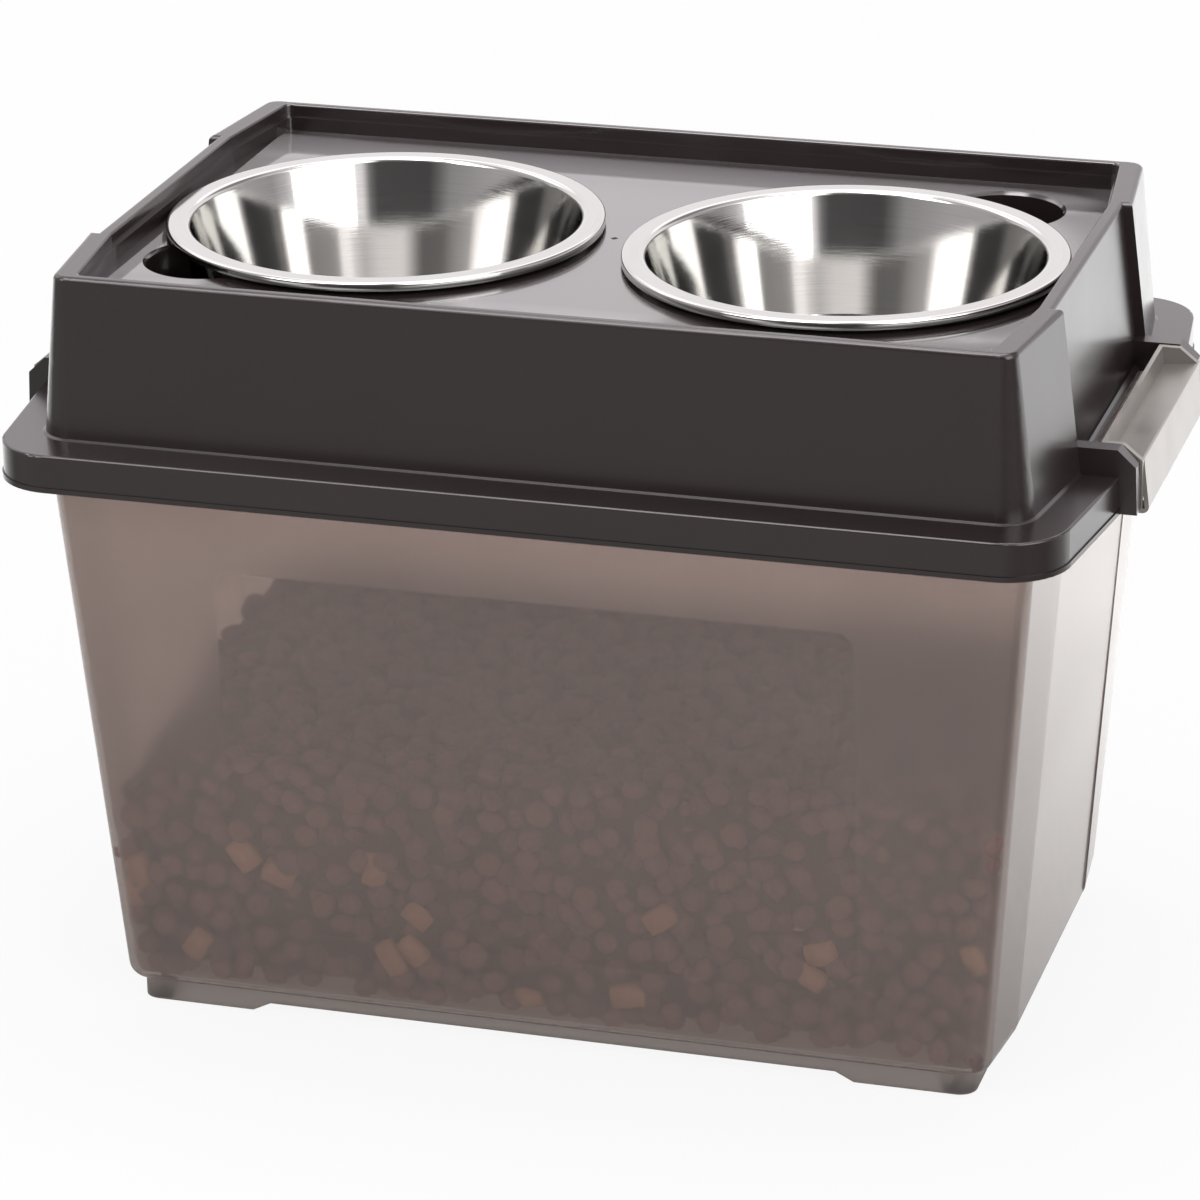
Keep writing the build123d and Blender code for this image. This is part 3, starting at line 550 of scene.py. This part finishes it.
# ---------------------------------------------------------------- feet
# Four feet of dull black rubber, a little dusty. Each is moulded in one with a stud that is pressed
# up into the bin's leg.

FOOT_BLACK = (0.018, 0.017, 0.017, 1.0)
FOOT_ROUGHNESS = 0.62
RUBBER_GRAIN = (1500.0, 60.0, 0.00008)
DUST_ROUGHENING = 0.08                   # more in the dust, and less between it


def rubber(name, colour, roughness):
    """Dull rubber: fine grain, with paler, rougher patches of dust."""
    material, tree, shader = new_material(name)
    place = tree.nodes.new("ShaderNodeTexCoord").outputs["Object"]
    patches = add_grain(tree, shader, place, *RUBBER_GRAIN)
    dusty = tuple(min(1.0, 1.6 * value + 0.01) for value in colour[:3]) + (1.0,)
    tree.links.new(blend_colours(tree, patches, colour, dusty), shader.inputs["Base Color"])
    uneven = blend_values(tree, patches, roughness - DUST_ROUGHENING, roughness + DUST_ROUGHENING)
    tree.links.new(uneven, shader.inputs["Roughness"])
    return material


foot_rubber = rubber("foot_rubber", FOOT_BLACK, FOOT_ROUGHNESS)
for row in ("front", "back"):
    for column in ("left", "right"):
        dress(f"foot_{row}_{column}", foot_rubber)


# ---------------------------------------------------------------- lid
# One black polypropylene moulding: flange, riser and tray in one. It has a satin finish from the
# mould, a little uneven, but the tray and its pockets are polished, and the tray's floor is dished up
# slightly to its walls.

LID_BLACK = (0.0225, 0.0152, 0.0152, 1.0)
LID_BLACK_PALE = (0.0250, 0.0172, 0.0172, 1.0)
LID_IOR = 1.58
LID_GRAIN = (1300.0, 13.0, 0.00006)
LID_ROUGHNESS = (0.215, 0.262)
TRAY_ROUGHNESS = (0.16, 0.20)
TRAY_COAT_ROUGHNESS = 0.06
TRAY_Z = 0.3633
TRAY_TOLERANCE = 0.0006                  # a point this near to the floor's height is on the floor
TRAY_HALF_SIZE = (0.214, 0.144)
POCKET_DEPTH = 0.03                      # how far below the tray's floor the polish goes on
DISH_REACH = 0.05
DISH_SLOPE = 0.36
GATE_PLACE = (-0.002, 0.0087)            # moulding mark in the tray's floor, between the bowls
GATE_HALF_SIZE = 0.0021
GATE_ROUGHNESS = 0.9


def dished_normal(tree, x, y, on_floor):
    """Normal of a floor that is dished up to its walls: its slope grows evenly from nothing, one reach
    away from a wall, to its steepest at the wall. Off the floor it is the surface's own."""
    heights = []
    for position, half in ((x, TRAY_HALF_SIZE[0]), (y, TRAY_HALF_SIZE[1])):
        inside = maths(tree, "SUBTRACT", half, maths(tree, "ABSOLUTE", position))
        near = maths(tree, "SUBTRACT", 1.0, maths(tree, "DIVIDE", inside, DISH_REACH), clamp=True)
        height = maths(tree, "MULTIPLY", maths(tree, "POWER", near, 2.0), DISH_SLOPE * DISH_REACH / 2)
        heights.append(height)
    bump = tree.nodes.new("ShaderNodeBump")
    bump.inputs["Strength"].default_value = 1.0
    bump.inputs["Distance"].default_value = 1.0
    tree.links.new(maths(tree, "ADD", *heights), bump.inputs["Height"])
    own = tree.nodes.new("ShaderNodeNewGeometry")
    normal = tree.nodes.new("ShaderNodeMix")
    normal.data_type = "VECTOR"
    tree.links.new(on_floor, normal.inputs["Factor"])
    tree.links.new(own.outputs["Normal"], normal.inputs["A"])
    tree.links.new(bump.outputs["Normal"], normal.inputs["B"])
    return normal.outputs["Result"]


def black_satin():
    """Black plastic: satin outside with soft patches of gloss, and polished in the tray, as a clear
    coat over a smoother ground. The moulding gate has left a small dull diamond on the tray's floor."""
    material, tree, shader = new_material("black_satin")
    place, x, y, z = object_axes(tree)
    shader.inputs["IOR"].default_value = LID_IOR
    in_tray = maths(tree, "GREATER_THAN", z, TRAY_Z - POCKET_DEPTH)
    for position, half in ((x, TRAY_HALF_SIZE[0]), (y, TRAY_HALF_SIZE[1])):
        within = maths(tree, "LESS_THAN", maths(tree, "ABSOLUTE", position), half)
        in_tray = maths(tree, "MULTIPLY", in_tray, within)
    off_floor = maths(tree, "ABSOLUTE", maths(tree, "SUBTRACT", z, TRAY_Z))
    on_floor = maths(tree, "LESS_THAN", off_floor, TRAY_TOLERANCE)
    on_floor = maths(tree, "MULTIPLY", on_floor, in_tray)
    form = dished_normal(tree, x, y, on_floor)
    patches = add_grain(tree, shader, place, *LID_GRAIN, form=form)
    reach = [
        maths(tree, "ABSOLUTE", maths(tree, "SUBTRACT", position, centre))
        for position, centre in zip((x, y), GATE_PLACE)
    ]
    gate = maths(tree, "LESS_THAN", maths(tree, "ADD", *reach), GATE_HALF_SIZE)
    gate = maths(tree, "MULTIPLY", gate, on_floor)
    satin = blend_values(tree, patches, *LID_ROUGHNESS)
    gloss = blend_values(tree, patches, *TRAY_ROUGHNESS)
    roughness = blend_numbers(tree, in_tray, satin, gloss)
    tree.links.new(blend_numbers(tree, gate, roughness, GATE_ROUGHNESS), shader.inputs["Roughness"])
    tree.links.new(maths(tree, "SUBTRACT", in_tray, gate), shader.inputs["Coat Weight"])
    shader.inputs["Coat Roughness"].default_value = TRAY_COAT_ROUGHNESS
    tree.links.new(blend_colours(tree, patches, LID_BLACK, LID_BLACK_PALE), shader.inputs["Base Color"])
    return material


dress("feeder_lid", black_satin())


# ---------------------------------------------------------------- seal
# Soft grey rubber ring, moulded in one loop and pressed into the groove under the flange, where it
# closes on the bin's rim.

SEAL_GREY = (0.09, 0.088, 0.085, 1.0)
SEAL_ROUGHNESS = 0.55

dress("lid_seal", rubber("seal_rubber", SEAL_GREY, SEAL_ROUGHNESS))


# ---------------------------------------------------------------- latches
# Warm silver-grey plastic mouldings with a pearly, part metallic fleck, one on each short side. Each
# snaps between two ears of the lid on the trunnions at its ends.

LATCH_GREY = (0.31, 0.288, 0.268, 1.0)
LATCH_GREY_DEEP = (0.265, 0.245, 0.227, 1.0)
LATCH_GRAIN = (1800.0, 40.0, 0.00006)
LATCH_ROUGHNESS = (0.28, 0.36)
FLECK_SCALE = 2600.0
FLECK_METALLIC = (0.25, 0.75)            # between the flecks, and on them


def silver_plastic():
    """Pearly grey plastic: a fine fleck that is part metallic, over a satin ground."""
    material, tree, shader = new_material("silver_plastic")
    place = tree.nodes.new("ShaderNodeTexCoord").outputs["Object"]
    patches = add_grain(tree, shader, place, *LATCH_GRAIN)
    fleck = tree.nodes.new("ShaderNodeTexNoise")
    fleck.inputs["Scale"].default_value = FLECK_SCALE
    fleck.inputs["Detail"].default_value = 2.0
    tree.links.new(place, fleck.inputs["Vector"])
    tree.links.new(blend_colours(tree, patches, LATCH_GREY_DEEP, LATCH_GREY), shader.inputs["Base Color"])
    tree.links.new(blend_values(tree, fleck.outputs["Fac"], *FLECK_METALLIC), shader.inputs["Metallic"])
    tree.links.new(blend_values(tree, patches, *LATCH_ROUGHNESS), shader.inputs["Roughness"])
    return material


latch_material = silver_plastic()
for side in ("left", "right"):
    dress(f"latch_{side}", latch_material)


# ---------------------------------------------------------------- bowls
# Two-quart stainless bowls pressed from one sheet: a flat rim curled down at its edge, a leaning wall
# and a flat floor, spun and polished so that fine rings run round them.

BOWL_SPACING = 0.226
BOWL_RIM_Z = 0.3691
BOWL_RIM_RADIUS = 0.105
BOWL_SHEET = 0.001
BOWL_DEPTH = 0.066
BOWL_RIM_WIDTH = 0.011
BOWL_WALL_LEAN = 0.016
BOWL_CURL = 0.004
BOWL_BENDS = (0.010, 0.003, 0.0016)      # radii at the floor, at the mouth and at the rim's edge
SUPPORT_REACH = 0.0004
TURN_SEGMENTS = 192
STEEL_DARK = (0.47, 0.467, 0.450, 1.0)
STEEL_PALE = (0.61, 0.606, 0.586, 1.0)
STEEL_ROUGHNESS = (0.05, 0.17)
RING_SCALE = 2600.0                      # rings for each metre across
RING_RISE = 0.6                          # what a metre of height counts beside a metre of radius
RING_BREAKS = 2.2                        # how often a ring is broken up, for each radian of the turn
RING_DEPTH = 0.00002
RUB_SCALE = 55.0


def with_supports(line):
    """The line with two more points on each long straight run, close to its ends, so that the smooth
    shading of a bend stays at the bend."""
    step = np.diff(line, axis=0)
    length = np.linalg.norm(step, axis=1)
    long_runs = np.flatnonzero(length > 6 * SUPPORT_REACH)
    inward = step[long_runs] / length[long_runs, None] * SUPPORT_REACH
    added = np.stack([line[long_runs] + inward, line[long_runs + 1] - inward], 1).reshape(-1, 2)
    return np.insert(line, np.repeat(long_runs + 1, 2), added, axis=0)


def bowl_profile():
    """Inner line of the bowl from its centre out and down the curled edge, as (radius, height), made of
    straight runs whose corners are replaced by arcs, each sampled evenly by its angle."""
    mouth = BOWL_RIM_RADIUS - BOWL_RIM_WIDTH
    corners = np.array([
        (0.0, BOWL_SHEET - BOWL_DEPTH),
        (mouth - BOWL_WALL_LEAN, BOWL_SHEET - BOWL_DEPTH),
        (mouth, 0.0),
        (BOWL_RIM_RADIUS, 0.0),
        (BOWL_RIM_RADIUS, -BOWL_CURL),
    ])
    line = [corners[0]]
    for before, corner, after, radius in zip(corners, corners[1:], corners[2:], BOWL_BENDS):
        back = (before - corner) / np.linalg.norm(before - corner)
        ahead = (after - corner) / np.linalg.norm(after - corner)
        half = math.acos(np.dot(back, ahead)) / 2
        start = corner + back * radius / math.tan(half)
        middle = corner + (back + ahead) / np.linalg.norm(back + ahead) * radius / math.sin(half)
        finish = corner + ahead * radius / math.tan(half)
        first = math.atan2(*(start - middle)[::-1])
        turn = (math.atan2(*(finish - middle)[::-1]) - first + math.pi) % (2 * math.pi) - math.pi
        angles = first + turn * np.linspace(0, 1, 9)
        line.extend(middle + radius * np.stack([np.cos(angles), np.sin(angles)], -1))
    line.append(corners[-1])
    return with_supports(np.array(line))


def sheet_section(line, thickness):
    """Closed section of a sheet: the line, then the same line moved to its right by the thickness."""
    step = np.gradient(line, axis=0)
    step /= np.linalg.norm(step, axis=1)[:, None]
    right = line + thickness * np.stack([step[:, 1], -step[:, 0]], -1)
    right[0, 0] = 0.0
    return np.concatenate([line, right[::-1]])


def turned(name, section, centre_x, rise, segments):
    """Section carried round a vertical axis: point = (radius cos angle, radius sin angle, height). Its
    first and last points are on the axis, and each is one vertex with a fan of triangles."""
    angle = np.linspace(0, 2 * np.pi, segments, endpoint=False)
    ring = section[1:-1]
    points = np.stack([
        centre_x + ring[:, :1] * np.cos(angle),
        ring[:, :1] * np.sin(angle),
        rise + ring[:, 1:] + 0 * angle,
    ], -1).reshape(-1, 3)
    poles = np.array([[centre_x, 0, rise + section[0, 1]], [centre_x, 0, rise + section[-1, 1]]])
    grid = np.arange(len(ring) * segments).reshape(len(ring), segments)
    after = np.roll(grid, -1, 1)
    quads = np.stack([grid[:-1], grid[1:], after[1:], after[:-1]], -1).reshape(-1, 4)
    first, last = len(points), len(points) + 1
    fan_in = [(first, int(a), int(b)) for a, b in zip(grid[0], after[0])]
    fan_out = [(int(a), last, int(b)) for a, b in zip(grid[-1], after[-1])]
    mesh = bpy.data.meshes.new(name)
    mesh.from_pydata(np.concatenate([points, poles]).tolist(), [], quads.tolist() + fan_in + fan_out)
    mesh.polygons.foreach_set("use_smooth", np.full(len(mesh.polygons), True))
    mesh.update()
    obj = bpy.data.objects.new(name, mesh)
    bpy.context.scene.collection.objects.link(obj)
    return obj


def spun_steel(name, centre_x):
    """Polished stainless: rings from noise read by the radius plus a share of the height, broken up
    along the turn, and a few longer rubs across them, which with the rings give the roughness."""
    material, tree, shader = new_material(name)
    place = tree.nodes.new("ShaderNodeTexCoord").outputs["Object"]
    centred = tree.nodes.new("ShaderNodeMapping")
    centred.inputs["Location"].default_value = (-centre_x, 0, 0)
    tree.links.new(place, centred.inputs["Vector"])
    split = tree.nodes.new("ShaderNodeSeparateXYZ")
    tree.links.new(centred.outputs["Vector"], split.inputs[0])
    angle = maths(tree, "ARCTAN2", split.outputs[1], split.outputs[0])
    squares = [maths(tree, "POWER", axis, 2.0) for axis in (split.outputs[0], split.outputs[1])]
    radius = maths(tree, "SQRT", maths(tree, "ADD", *squares))
    across = maths(tree, "ADD", radius, maths(tree, "MULTIPLY", split.outputs[2], RING_RISE))
    rings = tree.nodes.new("ShaderNodeCombineXYZ")
    tree.links.new(maths(tree, "MULTIPLY", across, RING_SCALE), rings.inputs["X"])
    tree.links.new(maths(tree, "MULTIPLY", angle, RING_BREAKS), rings.inputs["Y"])
    spin = tree.nodes.new("ShaderNodeTexNoise")
    spin.inputs["Scale"].default_value = 1.0
    spin.inputs["Detail"].default_value = 5.0
    tree.links.new(rings.outputs[0], spin.inputs["Vector"])
    rubs = tree.nodes.new("ShaderNodeTexNoise")
    rubs.inputs["Scale"].default_value = RUB_SCALE
    rubs.inputs["Detail"].default_value = 6.0
    tree.links.new(place, rubs.inputs["Vector"])
    colour = blend_colours(tree, spin.outputs["Fac"], STEEL_DARK, STEEL_PALE)
    tree.links.new(colour, shader.inputs["Base Color"])
    shader.inputs["Metallic"].default_value = 1.0
    wear = maths(tree, "MULTIPLY", spin.outputs["Fac"], rubs.outputs["Fac"])
    tree.links.new(blend_values(tree, wear, *STEEL_ROUGHNESS), shader.inputs["Roughness"])
    bump = tree.nodes.new("ShaderNodeBump")
    bump.inputs["Strength"].default_value = 0.5
    bump.inputs["Distance"].default_value = RING_DEPTH
    tree.links.new(spin.outputs["Fac"], bump.inputs["Height"])
    tree.links.new(bump.outputs["Normal"], shader.inputs["Normal"])
    return material


bowl_section = sheet_section(bowl_profile(), BOWL_SHEET)
for side, centre_x in (("left", -BOWL_SPACING / 2), ("right", BOWL_SPACING / 2)):
    bowl = turned(f"steel_bowl_{side}", bowl_section, centre_x, BOWL_RIM_Z, TURN_SEGMENTS)
    bowl.data.materials.append(spun_steel(f"spun_steel_{side}", centre_x))
    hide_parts(f"bowl_{side}")
    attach(bowl, f"{side}_bowl")


# ---------------------------------------------------------------- floor, light and camera
# A pale floor and a white surround, three large soft boxes, and the camera. Gloss and glass see a
# studio of bright screens with dark between them in place of the white surround.

STUDIO_TINT = (1.0, 0.958, 0.985, 1.0)
WORLD_GREY = 0.75                        # the surround's brightness for matt surfaces
CEILING = 1.2
OVERHEAD = 8.0                           # a small bright box high up at the front left
OVERHEAD_WAY = (-0.21, -0.36, 0.909)
OVERHEAD_EDGE = (0.955, 0.985)           # cosines of the angle from its way, from nothing to full
HIGH_RING_START = (0.40, 0.46)           # heights of the way looked, from the low ring to the high one
CEILING_START = (0.76, 0.90)             # and from the high ring to the ceiling
FLOOR_GREY = (0.86, 0.86, 0.86, 1.0)
FLOOR_HALF_SIZE = 6.0
FLOOR_SELF_LIT = (0.89, 1.0)             # share of the floor's white that is its own, near and far
FLOOR_FADE = (0.5, 3.0)                  # distances between which it goes from one to the other
SWEEP_FRONT = 0.48                       # the floor's brightness to gloss and glass: well in front,
SWEEP_NEAR = 0.24                        # close in front, and behind
SWEEP_BACK = 1.95
SWEEP_RIGHT = 0.5                        # share of it that is left beside the bin on the right
SWEEP_FRONT_Y = (-0.5, -0.2)             # where it goes from well in front to close in front
SWEEP_BACK_Y = (-0.2, 0.5)               # and from there to behind
SWEEP_RIGHT_X = (0.34, 0.60)
SWEEP_RIGHT_END_Y = (0.35, 0.6)
LOW_RING = (                             # degrees from +X towards +Y, and brightness
    (-180, 0.6), (-140, 0.6), (-111, 0.42), (-104, 0.22), (-98, 0.1), (-66, 0.11), (-61, 0.3),
    (-57, 1.3), (-14, 1.2), (-9, 0.8), (0, 0.5), (20, 0.6), (55, 1.3), (150, 1.3), (175, 0.8),
)
HIGH_RING = (                            # the same, for the screens above
    (-180, 0.85), (-152, 0.7), (-146, 0.8), (-142, 3.2), (-117, 3.2), (-113, 0.5), (-105, 0.5),
    (-97, 0.18), (-67, 0.18), (-60, 3.0), (-9, 3.0), (-2, 1.2), (22, 0.75), (35, 0.4), (62, 0.35),
    (70, 0.7), (88, 2.25), (118, 2.1), (139, 1.5), (152, 2.1), (158, 3.0), (169, 3.0), (174, 1.0),
)


def ramp(tree, value, first, last, low, high):
    """A value that runs straight from low to high as the input runs from first to last."""
    node = tree.nodes.new("ShaderNodeMapRange")
    for name, number in (("From Min", first), ("From Max", last), ("To Min", low), ("To Max", high)):
        node.inputs[name].default_value = number
    tree.links.new(value, node.inputs["Value"])
    return node.outputs["Result"]


def mixed(tree, factor, first, second):
    """A Mix Shader between two shader outputs."""
    node = tree.nodes.new("ShaderNodeMixShader")
    tree.links.new(factor, node.inputs["Fac"])
    tree.links.new(first, node.inputs[1])
    tree.links.new(second, node.inputs[2])
    return node.outputs[0]


def pale_floor():
    """Floor: diffuse for the light, mostly self-lit to the camera so that it stays near white with a
    soft shadow and fades into the surround, and to gloss and glass a plain sweep that is brightest
    behind, dark close in front and dimmer beside the bin on the right."""
    material = bpy.data.materials.new("pale_floor")
    material.use_nodes = True
    tree = material.node_tree
    tree.nodes.clear()
    output = tree.nodes.new("ShaderNodeOutputMaterial")
    place, x, y, _ = object_axes(tree)
    path = tree.nodes.new("ShaderNodeLightPath")
    plain = tree.nodes.new("ShaderNodeBsdfDiffuse")
    plain.inputs["Color"].default_value = FLOOR_GREY
    white = tree.nodes.new("ShaderNodeEmission")
    sweep = tree.nodes.new("ShaderNodeEmission")
    level = ramp(tree, y, *SWEEP_BACK_Y, SWEEP_NEAR, SWEEP_BACK)
    level = maths(tree, "ADD", level, ramp(tree, y, *SWEEP_FRONT_Y, SWEEP_FRONT - SWEEP_NEAR, 0.0))
    beside = ramp(tree, x, *SWEEP_RIGHT_X, 0.0, 1.0)
    beside = maths(tree, "MULTIPLY", beside, ramp(tree, y, *SWEEP_RIGHT_END_Y, 1.0, 0.0))
    level = blend_numbers(tree, beside, level, maths(tree, "MULTIPLY", level, SWEEP_RIGHT))
    tree.links.new(level, sweep.inputs["Strength"])
    seen = maths(tree, "MAXIMUM", path.outputs["Is Glossy Ray"], path.outputs["Is Transmission Ray"])
    away = tree.nodes.new("ShaderNodeVectorMath")
    away.operation = "LENGTH"
    tree.links.new(place, away.inputs[0])
    self_lit = ramp(tree, away.outputs["Value"], *FLOOR_FADE, *FLOOR_SELF_LIT)
    bright = mixed(tree, self_lit, plain.outputs[0], white.outputs[0])
    shown = mixed(tree, path.outputs["Is Camera Ray"], plain.outputs[0], bright)
    tree.links.new(mixed(tree, seen, shown, sweep.outputs[0]), output.inputs["Surface"])
    return material


floor_corners = FLOOR_HALF_SIZE * np.array([[-1, -1, 0], [1, -1, 0], [1, 1, 0], [-1, 1, 0]])
floor = mesh_object("floor", floor_corners, np.array([[0, 1, 2, 3]]))
floor.data.materials.append(pale_floor())


def ring(tree, turn, stops):
    """Brightness round the horizon: a colour ramp through stops of angle in degrees, counted from +X
    towards +Y, and brightness. The ramp holds tenths of the brightness, since it stops at 1."""
    node = tree.nodes.new("ShaderNodeValToRGB")
    elements = node.color_ramp.elements
    elements.remove(elements[1])
    for angle, brightness in stops:
        element = elements.new((angle + 180) / 360) if angle > -180 else elements[0]
        element.color = (brightness / 10, brightness / 10, brightness / 10, 1.0)
    tree.links.new(turn, node.inputs["Fac"])
    return maths(tree, "MULTIPLY", node.outputs["Color"], 10.0)


def surround():
    """World: white to the camera, a plain soft grey light to matt surfaces. Gloss and glass see a studio
    with a trace of pink: a low ring and a high ring of white screens with dark between them, a dim
    ceiling over both, and in it one small bright box that fades with the angle from its own way."""
    world = bpy.data.worlds.new("surround")
    world.use_nodes = True
    tree = world.node_tree
    tree.nodes.clear()
    output = tree.nodes.new("ShaderNodeOutputWorld")
    path = tree.nodes.new("ShaderNodeLightPath")
    split = tree.nodes.new("ShaderNodeSeparateXYZ")
    way = tree.nodes.new("ShaderNodeTexCoord").outputs["Generated"]
    tree.links.new(way, split.inputs[0])
    turn = maths(tree, "ARCTAN2", split.outputs[1], split.outputs[0])
    turn = maths(tree, "MULTIPLY_ADD", turn, 0.5 / math.pi, 0.5)
    is_high = ramp(tree, split.outputs[2], *HIGH_RING_START, 0.0, 1.0)
    studio = blend_numbers(tree, is_high, ring(tree, turn, LOW_RING), ring(tree, turn, HIGH_RING))
    is_ceiling = ramp(tree, split.outputs[2], *CEILING_START, 0.0, 1.0)
    studio = blend_numbers(tree, is_ceiling, studio, CEILING)
    to_box = tree.nodes.new("ShaderNodeVectorMath")
    to_box.operation = "DOT_PRODUCT"
    to_box.inputs[1].default_value = OVERHEAD_WAY
    tree.links.new(way, to_box.inputs[0])
    is_box = ramp(tree, to_box.outputs["Value"], *OVERHEAD_EDGE, 0.0, 1.0)
    studio = blend_numbers(tree, is_box, studio, OVERHEAD)
    seen = maths(tree, "MAXIMUM", path.outputs["Is Glossy Ray"], path.outputs["Is Transmission Ray"])
    level = blend_numbers(tree, seen, WORLD_GREY, studio)
    level = blend_numbers(tree, path.outputs["Is Camera Ray"], level, 1.0)
    background = tree.nodes.new("ShaderNodeBackground")
    tint = blend_colours(tree, seen, (1.0, 1.0, 1.0, 1.0), STUDIO_TINT)
    tree.links.new(tint, background.inputs["Color"])
    tree.links.new(level, background.inputs["Strength"])
    tree.links.new(background.outputs[0], output.inputs["Surface"])
    return world


bpy.context.scene.world = surround()


def soft_box(name, place, target, width, height, brightness):
    """Rectangular area lamp whose face has the given brightness, aimed at a point."""
    lamp = bpy.data.lights.new(name, "AREA")
    lamp.shape = "RECTANGLE"
    lamp.size, lamp.size_y = width, height
    lamp.energy = brightness * math.pi * width * height
    obj = bpy.data.objects.new(name, lamp)
    aim = Vector(target) - Vector(place)
    obj.matrix_world = Matrix.Translation(place) @ aim.to_track_quat("-Z", "Y").to_matrix().to_4x4()
    bpy.context.scene.collection.objects.link(obj)


LAMP_TARGET = (0.0, 0.0, 0.3)
SOFT_BOXES = (                # name, place, width, height and brightness
    ("top_box", (0.0, 0.2, 2.3), 1.3, 0.9, 4.2),
    ("right_box", (2.35, -1.55, 1.35), 2.2, 1.3, 2.6),
    ("left_box", (-1.45, -1.75, 1.75), 0.9, 0.9, 3.2),
)
for name, place, width, height, brightness in SOFT_BOXES:
    soft_box(name, place, LAMP_TARGET, width, height, brightness)

CAMERA_PLACE = (0.66734, -2.25903, 1.1179)
CAMERA_TURN = 16.666          # about the vertical, to the left
CAMERA_TILT = -21.659         # below level
CAMERA_ROLL = -0.764
FOCAL_PIXELS = 5222.7         # for a picture 1200 pixels wide
PICTURE_PIXELS = 1200
SENSOR_WIDTH = 36.0

camera_data = bpy.data.cameras.new("camera")
camera_data.sensor_width = SENSOR_WIDTH
camera_data.lens = FOCAL_PIXELS / PICTURE_PIXELS * SENSOR_WIDTH
camera_data.clip_end = 50.0
camera = bpy.data.objects.new("camera", camera_data)
camera.matrix_world = (
    Matrix.Translation(CAMERA_PLACE)
    @ Matrix.Rotation(math.radians(CAMERA_TURN), 4, "Z")
    @ Matrix.Rotation(math.radians(90 + CAMERA_TILT), 4, "X")
    @ Matrix.Rotation(math.radians(CAMERA_ROLL), 4, "Z")
)
bpy.context.scene.collection.objects.link(camera)
bpy.context.scene.camera = camera
bpy.context.scene.view_settings.view_transform = "Standard"
